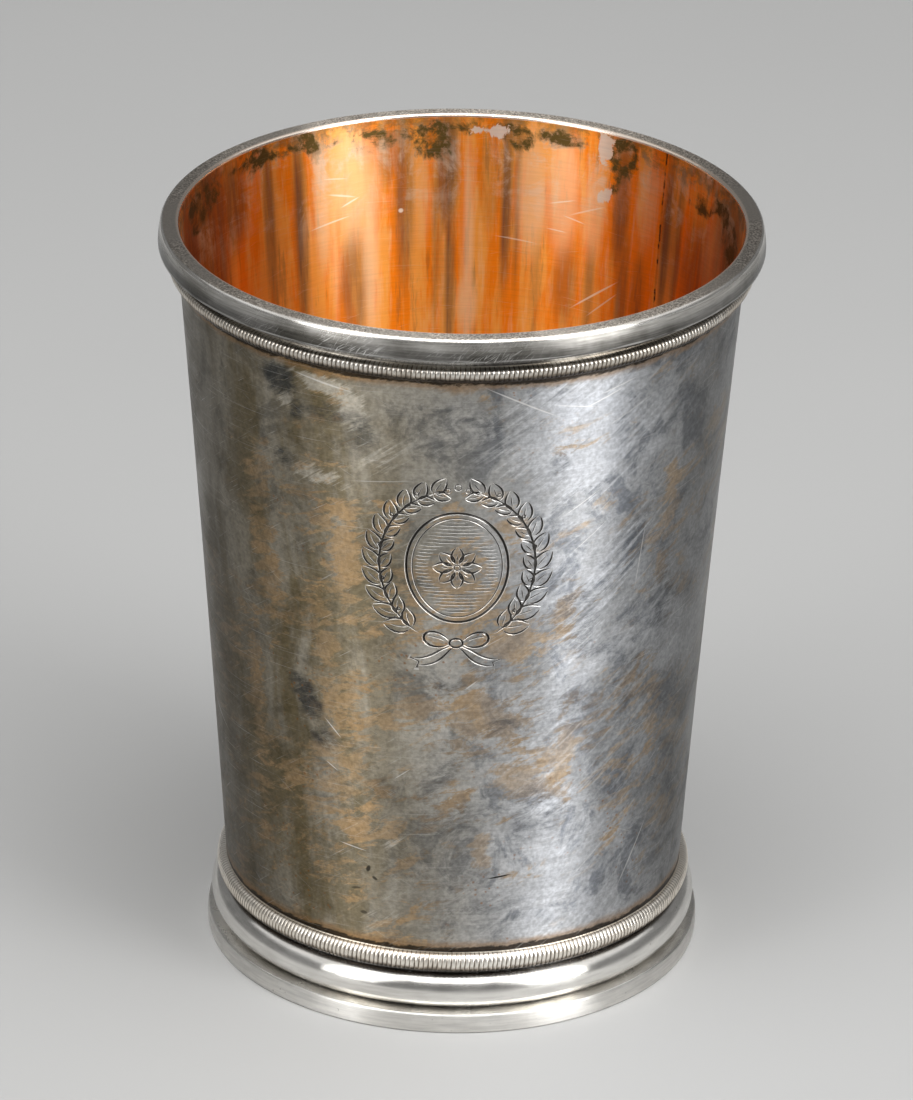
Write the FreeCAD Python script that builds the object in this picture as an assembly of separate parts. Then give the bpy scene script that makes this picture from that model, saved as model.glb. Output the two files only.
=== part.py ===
import FreeCAD, Part
import math
import os

# A silver beaker built up from rolled sheet and drawn wire. Millimetres, +Z up.
# The origin is the centre of the resting plane, and +Z is the axis of the wall.

# Overall height, from the resting plane to the flat top of the rim
height = 101.6

# Wall: one sheet rolled to a taper and very slightly hollow, so that its lip flares
wall_thickness = 0.6
wall_foot_radius = 29.72  # outside, carried down to the resting plane
wall_lip_radius = 37.1  # outside, at the top
wall_hollow = 0.3  # how far the middle lies inside a straight taper
wall_setback = 0.3  # from the resting plane up to the lower edge, so that the foot ring takes the load
lip_bevel = 0.46  # the inner edge, taken off

# Solder between each applied piece and the wall
solder_film = 0.05

# Base: a disc soldered inside the lower end of the wall
base_height = 6.5  # from the resting plane up to its underside
base_thickness = 0.7

# Rim band: a drawn strip round the outside of the lip, filed flush with its edge
band_depth = 3.03
band_thickness = 2.07
band_top_rounding = 0.65
band_lower_bevel = 0.22

# Milled wires: half round, with thin plain edges and with cuts across the round face
upper_wire_width = 2.4
lower_wire_width = 3.0
wire_thickness = 1.25
wire_edge = 0.2  # the thickness of the two plain edges
milling_pitch = 1.85  # from crest to crest, with one ridge here for each few fine cuts of the real wire
milling_depth = 0.32
upper_wire_gap = 1.35  # from the rim band down to the upper wire

# Foot: a ring to stand on, a half-round moulding, and the lower wire above them
foot_ring_height = 2.7
foot_ring_thickness = 3.14
foot_ring_bevel = 0.35
moulding_gap = 0.4  # from the foot ring up to the moulding
moulding_radius = 1.9
moulding_stilt = 0.42  # the straight part of its section, between the wall and the half round
lower_wire_gap = 0.95  # from the moulding up to the lower wire

# How far the tool that bores a ring out to its seat runs past it
overrun = 0.5

# Round stretches are cut in flats, to keep the part light: so many to a quarter turn
corner_flat_count = 2
moulding_flat_count = 3

# Heights that follow from the stack of pieces
band_bottom = height - band_depth
upper_wire_height = band_bottom - upper_wire_gap - upper_wire_width / 2
moulding_height = foot_ring_height + moulding_gap + moulding_radius
lower_wire_height = moulding_height + moulding_radius + lower_wire_gap + lower_wire_width / 2


def wall_radius(z):
    """The outside radius of the wall at height z: a straight taper, less the hollow."""
    share = z / height
    straight = wall_foot_radius + (wall_lip_radius - wall_foot_radius) * share
    return straight - 4 * share * (1 - share) * wall_hollow


def seat_radius(z):
    """The radius at which a piece is soldered to the outside of the wall."""
    return wall_radius(z) + solder_film


def quarter(centre, radius, first_degrees, flats):
    """The points of a quarter turn in flats, as (r, z). Zero degrees points outwards, 90 points up."""
    angles = [math.radians(first_degrees + 90 * step / flats) for step in range(flats + 1)]
    return [(centre[0] + radius * math.cos(a), centre[1] + radius * math.sin(a)) for a in angles]


def revolved(edges):
    """Turn a closed outline round the axis."""
    axis = FreeCAD.Vector(0, 0, 1)
    return Part.Face(Part.Wire(edges)).revolve(FreeCAD.Vector(0, 0, 0), axis, 360)


def straight_edges(*points):
    """The straight edges through (r, z) points, in order."""
    places = [FreeCAD.Vector(r, 0, z) for r, z in points]
    return [Part.LineSegment(a, b).toShape() for a, b in zip(places, places[1:])]


def wall_edge(inset, low, high):
    """The hollow edge of the wall's section, at an inset from its outside, as one arc."""
    stops = (low, (low + high) / 2, high)
    return Part.Arc(*[FreeCAD.Vector(wall_radius(z) - inset, 0, z) for z in stops]).toShape()


def body_wall():
    """The tapered sheet, with the inner edge of its lip taken off."""
    lip_low = height - lip_bevel
    low_inside = (wall_radius(wall_setback) - wall_thickness, wall_setback)
    low_outside = (wall_radius(wall_setback), wall_setback)
    lip_inside = wall_radius(lip_low) - wall_thickness
    high_outside = (wall_radius(height), height)
    high_inside = (lip_inside + lip_bevel, height)
    return revolved(
        [
            *straight_edges(low_inside, low_outside),
            wall_edge(0, wall_setback, height),
            *straight_edges(high_outside, high_inside, (lip_inside, lip_low)),
            wall_edge(wall_thickness, wall_setback, lip_low),
        ]
    )


def base_plate():
    """The disc, with its edge cut to the slope of the wall that it is soldered to."""
    top = base_height + base_thickness
    inset = wall_thickness + solder_film
    low_edge = (wall_radius(base_height) - inset, base_height)
    top_edge = (wall_radius(top) - inset, top)
    return revolved(straight_edges((0, base_height), low_edge, top_edge, (0, top), (0, base_height)))


def applied_ring(low, high, outline):
    """A drawn strip bent round the wall: its outline faces outwards, and its back follows the wall."""
    back_low = (seat_radius(low), low)
    back_high = (seat_radius(high), high)
    return revolved(straight_edges(back_low, *outline, back_high, back_low))


def rim_band():
    """The strip round the lip: well rounded above, and with its lower edge just softened."""
    outer = seat_radius(height) + band_thickness
    top_centre = (outer - band_top_rounding, height - band_top_rounding)
    top_corner = quarter(top_centre, band_top_rounding, 0, corner_flat_count)
    low_corner = [(outer - band_lower_bevel, band_bottom), (outer, band_bottom + band_lower_bevel)]
    return applied_ring(band_bottom, height, [*low_corner, *top_corner])


def half_round_moulding():
    """The heavy plain moulding: a half round on a short stilt."""
    centre = (seat_radius(moulding_height) + moulding_stilt, moulding_height)
    lower_half = quarter(centre, moulding_radius, -90, moulding_flat_count)
    upper_half = quarter(centre, moulding_radius, 0, moulding_flat_count)
    low = moulding_height - moulding_radius
    high = moulding_height + moulding_radius
    return applied_ring(low, high, [*lower_half, *upper_half[1:]])


def foot_ring():
    """The ring that the beaker stands on, with its two outer edges softened."""
    outer = seat_radius(0) + foot_ring_thickness
    inner = outer - foot_ring_bevel
    low_corner = [(inner, 0), (outer, foot_ring_bevel)]
    top_corner = [(outer, foot_ring_height - foot_ring_bevel), (inner, foot_ring_height)]
    return applied_ring(0, foot_ring_height, [*low_corner, *top_corner])


# The half round of the wire in three flats: the middle one takes this share of its width.
face_share = 0.45


def milled_outline(crest, cut_share, crests, z):
    """The plan of a milled ring at one height: a star with its points on the crests."""
    points = []
    for step in range(2 * crests):
        angle = step * math.pi / crests
        radius = crest * (cut_share if step % 2 else 1)
        points.append(FreeCAD.Vector(radius * math.cos(angle), radius * math.sin(angle), z))
    return Part.makePolygon([*points, points[0]])


def milled_wire(middle, width):
    """A ring of wire ruled through the plans of its two edges and its face, then bored to its seat."""
    low = middle - width / 2
    high = middle + width / 2
    face = seat_radius(middle) + wire_thickness
    crests = round(2 * math.pi * face / milling_pitch)
    cut_share = 1 - milling_depth / face

    def edge_crest(z):
        return (seat_radius(z) + wire_edge) / cut_share

    face_low = middle - face_share * width / 2
    face_high = middle + face_share * width / 2
    levels = (
        (edge_crest(low), low),
        (seat_radius(face_low) + wire_thickness, face_low),
        (seat_radius(face_high) + wire_thickness, face_high),
        (edge_crest(high), high),
    )
    plans = [milled_outline(crest, cut_share, crests, z) for crest, z in levels]
    bore_low = low - overrun
    bore_high = high + overrun
    bore = revolved(
        straight_edges(
            (0, bore_low),
            (seat_radius(bore_low), bore_low),
            (seat_radius(bore_high), bore_high),
            (0, bore_high),
            (0, bore_low),
        )
    )
    return Part.makeLoft(plans, True, True).cut(bore)


pieces = {
    "body_wall": body_wall(),
    "base_plate": base_plate(),
    "rim_band": rim_band(),
    "upper_milled_wire": milled_wire(upper_wire_height, upper_wire_width),
    "lower_milled_wire": milled_wire(lower_wire_height, lower_wire_width),
    "half_round_moulding": half_round_moulding(),
    "foot_ring": foot_ring(),
}

os.makedirs("parts", exist_ok=True)
for name, shape in pieces.items():
    shape.exportStep("parts/" + name + ".step")
    print(name, "solids", len(shape.Solids), "valid", shape.isValid(), "volume", round(shape.Volume, 1))
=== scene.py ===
# %% [markdown]
# An old beaker of coin silver, gilded inside and tarnished outside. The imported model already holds
# its seven pieces at their real size, with their round stretches cut in flats to keep them light.
# Here each piece gets its fine shape and its finish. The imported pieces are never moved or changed:
# a finer piece either stands for one of them or lies against it.

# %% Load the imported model
import math

import bmesh
import bpy
import numpy as np
from mathutils import Matrix, Vector, geometry


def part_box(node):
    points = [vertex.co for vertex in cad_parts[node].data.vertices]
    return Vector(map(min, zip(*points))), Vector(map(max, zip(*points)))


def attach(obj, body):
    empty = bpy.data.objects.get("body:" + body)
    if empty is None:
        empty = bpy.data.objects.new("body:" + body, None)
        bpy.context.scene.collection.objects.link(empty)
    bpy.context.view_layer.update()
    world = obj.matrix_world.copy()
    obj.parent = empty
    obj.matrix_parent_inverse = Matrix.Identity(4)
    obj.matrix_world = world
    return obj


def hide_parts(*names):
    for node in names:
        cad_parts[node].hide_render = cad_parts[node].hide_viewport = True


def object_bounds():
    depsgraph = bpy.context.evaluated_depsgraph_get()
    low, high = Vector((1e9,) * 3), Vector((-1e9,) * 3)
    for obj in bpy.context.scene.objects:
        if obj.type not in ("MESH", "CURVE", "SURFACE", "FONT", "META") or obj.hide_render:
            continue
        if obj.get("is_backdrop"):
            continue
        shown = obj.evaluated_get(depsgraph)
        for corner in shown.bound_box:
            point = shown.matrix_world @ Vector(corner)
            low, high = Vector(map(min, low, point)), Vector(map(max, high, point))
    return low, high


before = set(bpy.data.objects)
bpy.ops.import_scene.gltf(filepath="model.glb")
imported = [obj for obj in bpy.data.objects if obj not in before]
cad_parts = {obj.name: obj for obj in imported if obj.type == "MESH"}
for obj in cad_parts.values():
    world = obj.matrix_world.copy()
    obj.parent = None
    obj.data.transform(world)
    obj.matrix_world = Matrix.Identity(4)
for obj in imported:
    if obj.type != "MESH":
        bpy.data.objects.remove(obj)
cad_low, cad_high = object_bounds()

print("packed pieces:", ", ".join(sorted(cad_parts)))

# %% [markdown]
# Blender works in metres, and a silversmith in millimetres. Every size below is in millimetres, and
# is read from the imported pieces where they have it: a ray shot at a piece gives its radius at a
# height, and its box gives where it starts and ends.

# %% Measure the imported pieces
METRES = 0.001


def box_of(node):
    """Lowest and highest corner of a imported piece, in millimetres."""
    low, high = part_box(node)
    return low / METRES, high / METRES


def radius_of(node, height, from_axis=False):
    """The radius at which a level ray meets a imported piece: from outside, or from the axis."""
    beside_seam = 1e-6
    start = 0 if from_axis else 1
    way = 1 if from_axis else -1
    place = Vector((start, beside_seam, height * METRES))
    hit, point, _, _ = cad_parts[node].ray_cast(place, Vector((way, 0, 0)))
    if not hit:
        raise RuntimeError(f"no surface of {node} at height {height}")
    return point.x / METRES


def radii_at(node, height):
    """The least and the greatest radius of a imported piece's corners at one height."""
    near = 0.01
    corners = [v.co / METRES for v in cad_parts[node].data.vertices]
    radii = [math.hypot(c.x, c.y) for c in corners if abs(c.z - height) < near]
    return min(radii), max(radii)


top = box_of("body_wall")[1].z
wall_low = box_of("body_wall")[0].z
base_low, base_top = (corner.z for corner in box_of("base_plate"))
band_low = box_of("rim_band")[0].z
foot_top = box_of("foot_ring")[1].z
print(f"wall {wall_low:.2f} to {top:.2f} mm, band from {band_low:.2f}, base {base_low:.2f} to {base_top:.2f}")

# %% [markdown]
# The wall is a rolled sheet, very slightly hollow between its foot and its lip. Three radii, at its
# bottom, middle and top, give that hollow line as one smooth curve.

# %% The line of the wall
off_edge = 0.05
stations = np.linspace(wall_low + off_edge, top - off_edge, 3)
wall_line = np.poly1d(np.polyfit(stations, [radius_of("body_wall", z) for z in stations], 2))
middle_height = (wall_low + top) / 2
thickness = wall_line(middle_height) - radius_of("body_wall", middle_height, from_axis=True)
lip_inner, lip_outer = radii_at("body_wall", top)
lip_rounding = lip_inner - (wall_line(top) - thickness)
mean_radius = wall_line(middle_height)
print(f"wall {thickness:.2f} mm thick, radius {wall_line(wall_low):.2f} to {wall_line(top):.2f}")

# %% [markdown]
# Turned pieces are all made in one way: an outline in radius and height is carried round the axis
# in many small steps. A lathe does the same in metal. The outline is a closed loop, so that every
# piece is a closed solid, and each stretch of it may have a finish of its own.


# %% A lathe for meshes
def arc(centre, radius, first, last, steps):
    """Points of an arc in the outline, from one angle to another in degrees. 0 points outwards, 90 up."""
    turn = np.radians(np.linspace(first, last, steps + 1))
    return np.column_stack([centre[0] + radius * np.cos(turn), centre[1] + radius * np.sin(turn)])


def outline(*stretches):
    """Join points and arcs into one list of (radius, height), without doubled points."""
    points = np.vstack([np.atleast_2d(s) for s in stretches])
    apart = np.abs(np.diff(points, axis=0)).sum(axis=1) > 1e-6
    return points[np.concatenate([[True], apart])]


def around(angles, radii, heights):
    """Points in millimetres from angles measured from the front, positive to the right."""
    return np.stack([radii * np.sin(angles), -radii * np.cos(angles), heights + 0 * angles], axis=-1)


def skin(columns, count):
    """The quads between columns of points: one for each step round and each stretch of the outline."""
    column, stretch = np.meshgrid(np.arange(columns), np.arange(count), indexing="ij")
    beside, after = (column + 1) % columns, (stretch + 1) % count
    corners = ((column, stretch), (beside, stretch), (beside, after), (column, after))
    return np.stack([c * count + s for c, s in corners], axis=-1).reshape(-1, 4)


def turned(points, columns, wobble=None):
    """Carry an outline round the axis: the points and the quads."""
    angles = np.linspace(-math.pi, math.pi, columns, endpoint=False)
    turn, radii = np.meshgrid(angles, points[:, 0], indexing="ij")
    heights = np.broadcast_to(points[:, 1], turn.shape)
    if wobble is not None:
        radii = radii + wobble(turn, heights)
    return around(turn, radii, heights).reshape(-1, 3), skin(columns, len(points))


# %% [markdown]
# A piece is a mesh, its finishes and a body to ride on. Edges sharper than a few tens of degrees
# stay crisp, and the rest is shaded smooth. Counting the edges that don't have exactly two faces
# shows at once whether a piece is closed.


# %% Make a piece of the beaker
def make_piece(name, points, faces, finishes, stands_for, finish_of=None, numbers=None, crisp=35):
    """A closed piece from points in millimetres, with named numbers for each point that finishes can read."""
    mesh = bpy.data.meshes.new(name)
    mesh.from_pydata((points * METRES).tolist(), [], [list(map(int, f)) for f in faces])
    for label, values in (numbers or {}).items():
        mesh.attributes.new(label, "FLOAT", "POINT").data.foreach_set("value", values.astype(np.float32))
    for finish in finishes:
        mesh.materials.append(finish)
    if finish_of is not None:
        mesh.polygons.foreach_set("material_index", np.asarray(finish_of, dtype=np.int32))
    tidy_mesh(mesh)
    mesh.shade_smooth()
    mesh.set_sharp_from_angle(angle=math.radians(crisp))
    piece = bpy.data.objects.new(name, mesh)
    bpy.context.scene.collection.objects.link(piece)
    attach(piece, "root")
    for node in stands_for:
        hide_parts(node)
    return piece


def tidy_mesh(mesh):
    """Weld doubled points, face everything outwards, and say how many edges are open."""
    weld = 1.5e-6
    work = bmesh.new()
    work.from_mesh(mesh)
    bmesh.ops.remove_doubles(work, verts=work.verts, dist=weld)
    bmesh.ops.dissolve_degenerate(work, edges=work.edges, dist=weld)
    bare_edges = [edge for edge in work.edges if not edge.link_faces]
    bmesh.ops.delete(work, geom=bare_edges, context="EDGES")
    bmesh.ops.recalc_face_normals(work, faces=work.faces)
    loose = sum(1 for edge in work.edges if len(edge.link_faces) != 2)
    work.to_mesh(mesh)
    triangles = sum(len(face.verts) - 2 for face in work.faces)
    work.free()
    print(f"{mesh.name}: {triangles} triangles, {loose} open edges")


# %% [markdown]
# Finishes are node materials. A small class keeps each one readable: it holds the metal shader, and
# has a short method for every kind of node in use. A value given to a method is either a number,
# typed into the socket, or another node's output, linked to it. Colours are laid over each other
# like coats, each with a share that says where it lies.


# %% A bench for finishes
class Finish:
    """A finish: its shader, its place on the beaker, and short ways to add nodes."""

    def __init__(self, name, **constants):
        self.material = bpy.data.materials.new(name)
        self.material.use_nodes = True
        self.tree = self.material.node_tree
        self.shader = self.tree.nodes["Principled BSDF"]
        for socket, value in constants.items():
            self.shader.inputs[socket.replace("_", " ")].default_value = value
        coordinates = self.add("ShaderNodeTexCoord").node.outputs
        self.place, self.facing = coordinates["Object"], coordinates["Normal"]

    def add(self, kind, *values, output=0, **settings):
        """Add a node, set its settings, fill its sockets in order and return one output."""
        node = self.tree.nodes.new(kind)
        for key, value in settings.items():
            setattr(node, key, value)
        for socket, value in zip(node.inputs, values):
            self.fill(socket, value)
        return node.outputs[output]

    def fill(self, socket, value):
        """Link an output to a socket, or type a number into it."""
        if isinstance(value, bpy.types.NodeSocket):
            self.tree.links.new(value, socket)
        elif value is not None:
            socket.default_value = value

    def number(self, label):
        """A number that the mesh holds for each of its points."""
        return self.add("ShaderNodeAttribute", attribute_name=label).node.outputs["Fac"]

    def maths(self, operation, a, b=0.0, c=0.0):
        return self.add("ShaderNodeMath", a, b, c, operation=operation)

    def times(self, a, b):
        return self.maths("MULTIPLY", a, b)

    def plus(self, a, b):
        return self.maths("ADD", a, b)

    def greatest(self, *numbers):
        """The greatest of some numbers."""
        result = numbers[0]
        for other in numbers[1:]:
            result = self.maths("MAXIMUM", result, other)
        return result

    def ramp(self, value, low, high, least=0.0, most=1.0):
        """A soft step: least below low, most above high."""
        return self.add("ShaderNodeMapRange", value, low, high, least, most, interpolation_type="SMOOTHSTEP")

    def between(self, value, low, high, soft):
        """One between two values and nothing outside them, with soft edges."""
        return self.times(
            self.ramp(value, low - soft, low + soft), self.ramp(value, high - soft, high + soft, 1.0, 0.0)
        )

    def noise(self, vector, scale, detail=4.0, roughness=0.55, distortion=0.0, output="Fac"):
        node = self.add("ShaderNodeTexNoise", noise_dimensions="3D").node
        sockets = ("Vector", "Scale", "Detail", "Roughness", "Distortion")
        for socket, value in zip(sockets, (vector, scale, detail, roughness, distortion)):
            self.fill(node.inputs[socket], value)
        return node.outputs[output]

    def mix(self, share, a, b, way="MIX"):
        """Mix two colours."""
        node = self.add("ShaderNodeMix", data_type="RGBA", blend_type=way).node
        colours = [(*c, 1.0) if isinstance(c, tuple) else c for c in (a, b)]
        for index, value in ((0, share), (6, colours[0]), (7, colours[1])):
            self.fill(node.inputs[index], value)
        return node.outputs[2]

    def laid(self, under, coat, share, most=None):
        """Lay a coat of colour over another, where a share says so, and at most so thick."""
        return self.mix(share if most is None else self.times(share, most), under, coat)

    def toned(self, colour, tone):
        """Make a colour darker or lighter by a number."""
        return self.mix(1.0, colour, self.vector(tone, tone, tone), way="MULTIPLY")

    def bump(self, height, distance, onto=None):
        """Tilt the surface by a height pattern whose full step is a distance in millimetres."""
        node = self.add("ShaderNodeBump").node
        for socket, value in (("Distance", distance * METRES), ("Height", height), ("Normal", onto)):
            self.fill(node.inputs[socket], value)
        return node.outputs[0]

    def done(self, colour, roughness, normal=None):
        """Wire the colour, the roughness and the bump into the shader."""
        for socket, value in (("Base Color", colour), ("Roughness", roughness), ("Normal", normal)):
            self.fill(self.shader.inputs[socket], value)
        return self.material

    def parts(self, vector):
        """The three numbers of a vector."""
        return self.add("ShaderNodeSeparateXYZ", vector).node.outputs[:]

    def vector(self, x, y, z):
        return self.add("ShaderNodeCombineXYZ", x, y, z)

    def stretched(self, vector, x, y, z):
        """Multiply a vector's three numbers, which squeezes the pattern that reads it."""
        return self.add("ShaderNodeVectorMath", vector, (x, y, z), operation="MULTIPLY")

    def length(self, vector):
        return self.add("ShaderNodeVectorMath", vector, operation="LENGTH", output=1)

    def sideways(self):
        """Millimetres to the right of the axis, which has no seam at the back."""
        return self.maths("DIVIDE", self.parts(self.place)[0], METRES)

    def from_axis(self):
        """Millimetres from the axis."""
        return self.maths("DIVIDE", self.length(self.stretched(self.place, 1, 1, 0)), METRES)

    def unrolled(self):
        """The beaker's skin laid flat: millimetres round from the front, and millimetres up."""
        x, y, z = self.parts(self.place)
        angle = self.maths("ARCTAN2", x, self.times(y, -1.0))
        return self.vector(self.times(angle, mean_radius), self.maths("DIVIDE", z, METRES), 0.0)

    def swept(self, degrees, length, width):
        """A space in which noise makes streaks that lean up to the right, with no seam anywhere."""
        lean = math.radians(degrees)
        twist = -1 / (math.tan(lean) * mean_radius * METRES)
        angle = self.times(self.parts(self.place)[2], twist)
        space = self.add("ShaderNodeVectorRotate", self.place, None, None, angle, rotation_type="Z_AXIS")
        rise = abs(math.sin(lean))
        squeeze = rise / width / METRES
        return self.stretched(space, squeeze, squeeze, 1 / (length * rise) / METRES)


# %% [markdown]
# Marks such as scratches have a place of their own on the beaker, where noise has none. Each is an
# oval on the skin laid flat, with an angle, a height and two half sizes. A finish that needs many
# marks would get slow, so only the sharp ones are nodes. The soft stains are worked out further
# down, once for each point of the wall's mesh, and the finish reads them there as numbers.


# %% Ways to age a surface
def spots(finish, flat, marks, soft):
    """The strongest of the marks at each place, each mark an oval with soft edges."""
    result = 0.0
    for angle, height, half_across, half_up, tilt, strength in marks:
        node = finish.add("ShaderNodeMapping", flat, vector_type="TEXTURE").node
        node.inputs["Location"].default_value = (math.radians(angle) * mean_radius, height, 0)
        node.inputs["Rotation"].default_value = (0, 0, math.radians(tilt))
        node.inputs["Scale"].default_value = (half_across, half_up, 1)
        away = finish.length(node.outputs[0])
        result = finish.greatest(result, finish.ramp(away, 1 - soft, 1 + soft, strength, 0.0))
    return result


def hairlines(finish, *sets):
    """Fine scratches that come and go. Each set has a lean in degrees, a length, a width and a share."""
    result = 0.0
    for degrees, length, width, share in sets:
        grain = finish.noise(finish.swept(degrees, length, width), 1.0, 2.0, 0.5, 0.3)
        result = finish.greatest(result, finish.ramp(grain, 1 - share, 1 - share * 0.55))
    return result


def ragged(finish, flat, reach, scale):
    """Shake the flat skin by a noise, so that marks get uneven edges."""
    cloud = finish.noise(finish.place, scale, 5.0, 0.65, output="Color")
    centred = finish.add("ShaderNodeVectorMath", cloud, (0.5, 0.5, 0.5), operation="SUBTRACT")
    shake = finish.stretched(centred, reach, reach, reach)
    return finish.add("ShaderNodeVectorMath", flat, shake, operation="ADD")


def eaten(finish, stain, broken, depth):
    """Let a fine noise eat holes in a stain, most where it is weak."""
    bites = finish.maths("MULTIPLY_ADD", broken, depth, -depth / 2)
    left = finish.ramp(finish.plus(stain, bites), 0.3, 0.75)
    return finish.times(left, finish.ramp(stain, 0.02, 0.25))


def brushed(name, anisotropic):
    """A metal rubbed round and round, whose fine scratches draw each highlight out up and down."""
    finish = Finish(name, Metallic=1.0, Anisotropic=anisotropic, Anisotropic_Rotation=0.25)
    tangent = finish.add("ShaderNodeTangent", direction_type="RADIAL", axis="Z")
    finish.fill(finish.shader.inputs["Tangent"], tangent)
    return finish


# %% [markdown]
# Old silver is never one grey. Air and use lay a thin tarnish on it: amber where it is thin, blue
# where it is thicker, and nearly black where nobody rubs. So the outside is built in layers, as it
# came about: the bare metal, the clouds of tarnish, single stains, and then the scratches that cut
# through to bright metal. Clouds are noise in space, so they have no seam. Stains and scratches are
# placed one by one.

# %% Colours of the silver
bare = (0.62, 0.61, 0.60)
dulled = (0.34, 0.335, 0.325)
slate = (0.13, 0.145, 0.17)
blue_black = (0.06, 0.068, 0.08)
amber = (0.50, 0.355, 0.215)
olive_film = (0.19, 0.155, 0.085)
flank_shade = (0.09, 0.082, 0.068)
rust = (0.33, 0.14, 0.04)
solder_brown = (0.36, 0.22, 0.11)
soot_and_shade = (0.03, 0.026, 0.022)
fresh_cut_and_highlight = (0.90, 0.885, 0.86)
# Painted tints of light: warm for the left, cool for the right
warm_light_tint, cool_light_tint = (1.06, 0.99, 0.84), (0.96, 1.0, 1.07)

# %% [markdown]
# The stains on the front were found one by one in the front view. Each became an oval: where it
# lies, how large it is, how it leans and how strong it is. The last rows of each table lie at the
# sides and the back, which that view doesn't show, so they are guesses in the same manner.

# %% Stains on the outside
# Each stain: angle in degrees, height, half width, half height, tilt in degrees, strength
# The large soft dark stains in the middle of the front and low in the right-hand light are painted shade
dark_stains_and_shade = (
    (-38.5, 91.3, 2.6, 2.4, -25, 1), (-28, 88.6, 5.2, 1.7, -8, 0.75), (-20.5, 86.6, 2.2, 3.4, 12, 0.75),
    (-35, 87, 0.9, 0.8, 0, 1), (-39.2, 80.5, 1.4, 1.2, 0, 1), (-25, 84, 3, 2.2, 20, 0.5),
    (-18, 71, 2.6, 1.8, 10, 0.6), (-33, 75, 2.8, 4, 10, 0.35), (-7, 78.5, 2.2, 4, 30, 0.45),
    (-36, 46, 2, 3.6, 32, 1), (-32, 40.5, 2.6, 1.8, -20, 0.7), (-17, 35, 2.6, 4, 50, 0.5),
    (-4, 36.5, 1.6, 4.2, -48, 0.7), (2.5, 32, 4.2, 1.5, 20, 0.6), (-2, 50.5, 4.8, 1.2, 18, 0.6),
    (9.5, 44.5, 3.4, 1.3, 25, 0.6), (4, 55, 1.4, 2.4, 0, 0.5), (21, 82, 1.6, 2.6, 0, 0.6),
    (30, 56, 2.6, 3.4, 40, 0.6), (28, 47, 1.2, 4, 0, 0.6), (34, 40, 3, 6, 0, 0.45),
    (17.5, 29.5, 3.4, 2.4, 0, 0.6), (44, 50, 3, 9, -25, 0.5), (8, 19, 7, 3, 5, 0.35),
    (-12, 20, 7, 4, 0, 0.3), (13, 63, 1.6, 3.2, 15, 0.35), (40, 70, 2.4, 4.4, -35, 0.5),
    (20, 64, 5, 9, 35, 0.4), (17, 46, 8, 11, 35, 0.36), (24, 30, 6, 8, 20, 0.3), (27, 60, 4, 5, 30, 0.65),
    (52, 58, 3, 10, 0, 0.6), (29, 46, 5, 5, 30, 0.5), (20, 31, 5, 5, 20, 0.55), (8, 17, 6, 5, 0, 0.5),
    (1, 88, 8, 5, 0, 0.42), (-3, 21, 7, 7, 0, 0.42), (-3, 32, 6, 6, 0, 0.42), (3, 42, 7, 4, 20, 0.35),
    (160, 60, 7, 3, 20, 0.6), (-120, 30, 8, 3.5, -15, 0.6), (110, 75, 6, 4, 40, 0.5),
    (85, 34, 5, 2.2, 25, 0.5), (-80, 58, 2.4, 7, 20, 0.5), (-160, 84, 6, 2.2, -12, 0.6),
)
amber_stains = (
    (-24, 68, 1.6, 8, -4, 0.75), (-46, 66, 2.2, 9, 6, 0.7), (-46, 78, 1.8, 4, 0, 0.6),
    (-17.5, 72, 3.6, 1.2, 35, 0.5), (-31, 56, 2.2, 5, 14, 0.6), (-26, 46, 5, 6, 30, 0.75),
    (-29, 36, 4.6, 5, 20, 0.7), (-24.5, 28, 3, 1.8, -10, 1), (-38, 34, 3, 4, 20, 0.55),
    (-10, 46.5, 6.5, 4, 20, 0.75), (-11, 24, 1.2, 0.8, 0, 0.7), (0, 34, 2.6, 2, 30, 0.55),
    (6, 46, 5.5, 5.5, 20, 0.85), (18, 37, 4.6, 4.6, 10, 0.85), (14, 57, 2.6, 3, 25, 0.75),
    (24.5, 61, 1.6, 4, -8, 0.75), (22, 71.5, 3.2, 1.8, 20, 0.65), (25, 84.5, 3.6, 0.9, 8, 0.7),
    (38, 85.3, 1.3, 0.9, 0, 0.8), (32, 75.5, 2.2, 1, 10, 0.6), (12, 73.5, 1.6, 2.2, 30, 0.6),
    (52, 73, 1.1, 4, 0, 0.55), (50, 62, 1.1, 3, 0, 0.5), (6.5, 27, 1.3, 1.2, 0, 0.9),
    (7, 24.2, 1.2, 0.8, 0, 0.8), (17, 22, 2.6, 1.1, 10, 0.7), (41, 25, 3.4, 0.8, 40, 0.7),
    (41, 47, 3, 1, 42, 0.6), (52, 42, 1.4, 5, 0, 0.5), (0, 63, 7, 6, 20, 0.35), (26, 38, 1.4, 7, 0, 0.5),
    (-52, 40, 1.4, 16, 0, 0.5), (-9, 58, 3, 3, 30, 0.4), (-150, 70, 5, 7, 20, 0.7),
    (140, 35, 8, 5, -25, 0.7), (85, 55, 4, 8, 15, 0.6), (-90, 75, 4, 6, 0, 0.6),
    (-110, 45, 6, 4, 25, 0.7), (115, 45, 5, 5, 30, 0.6), (170, 42, 6, 4, 15, 0.6),
    (-175, 78, 3, 1.6, 10, 0.7), (70, 80, 3, 2, 20, 0.6),
)
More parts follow.
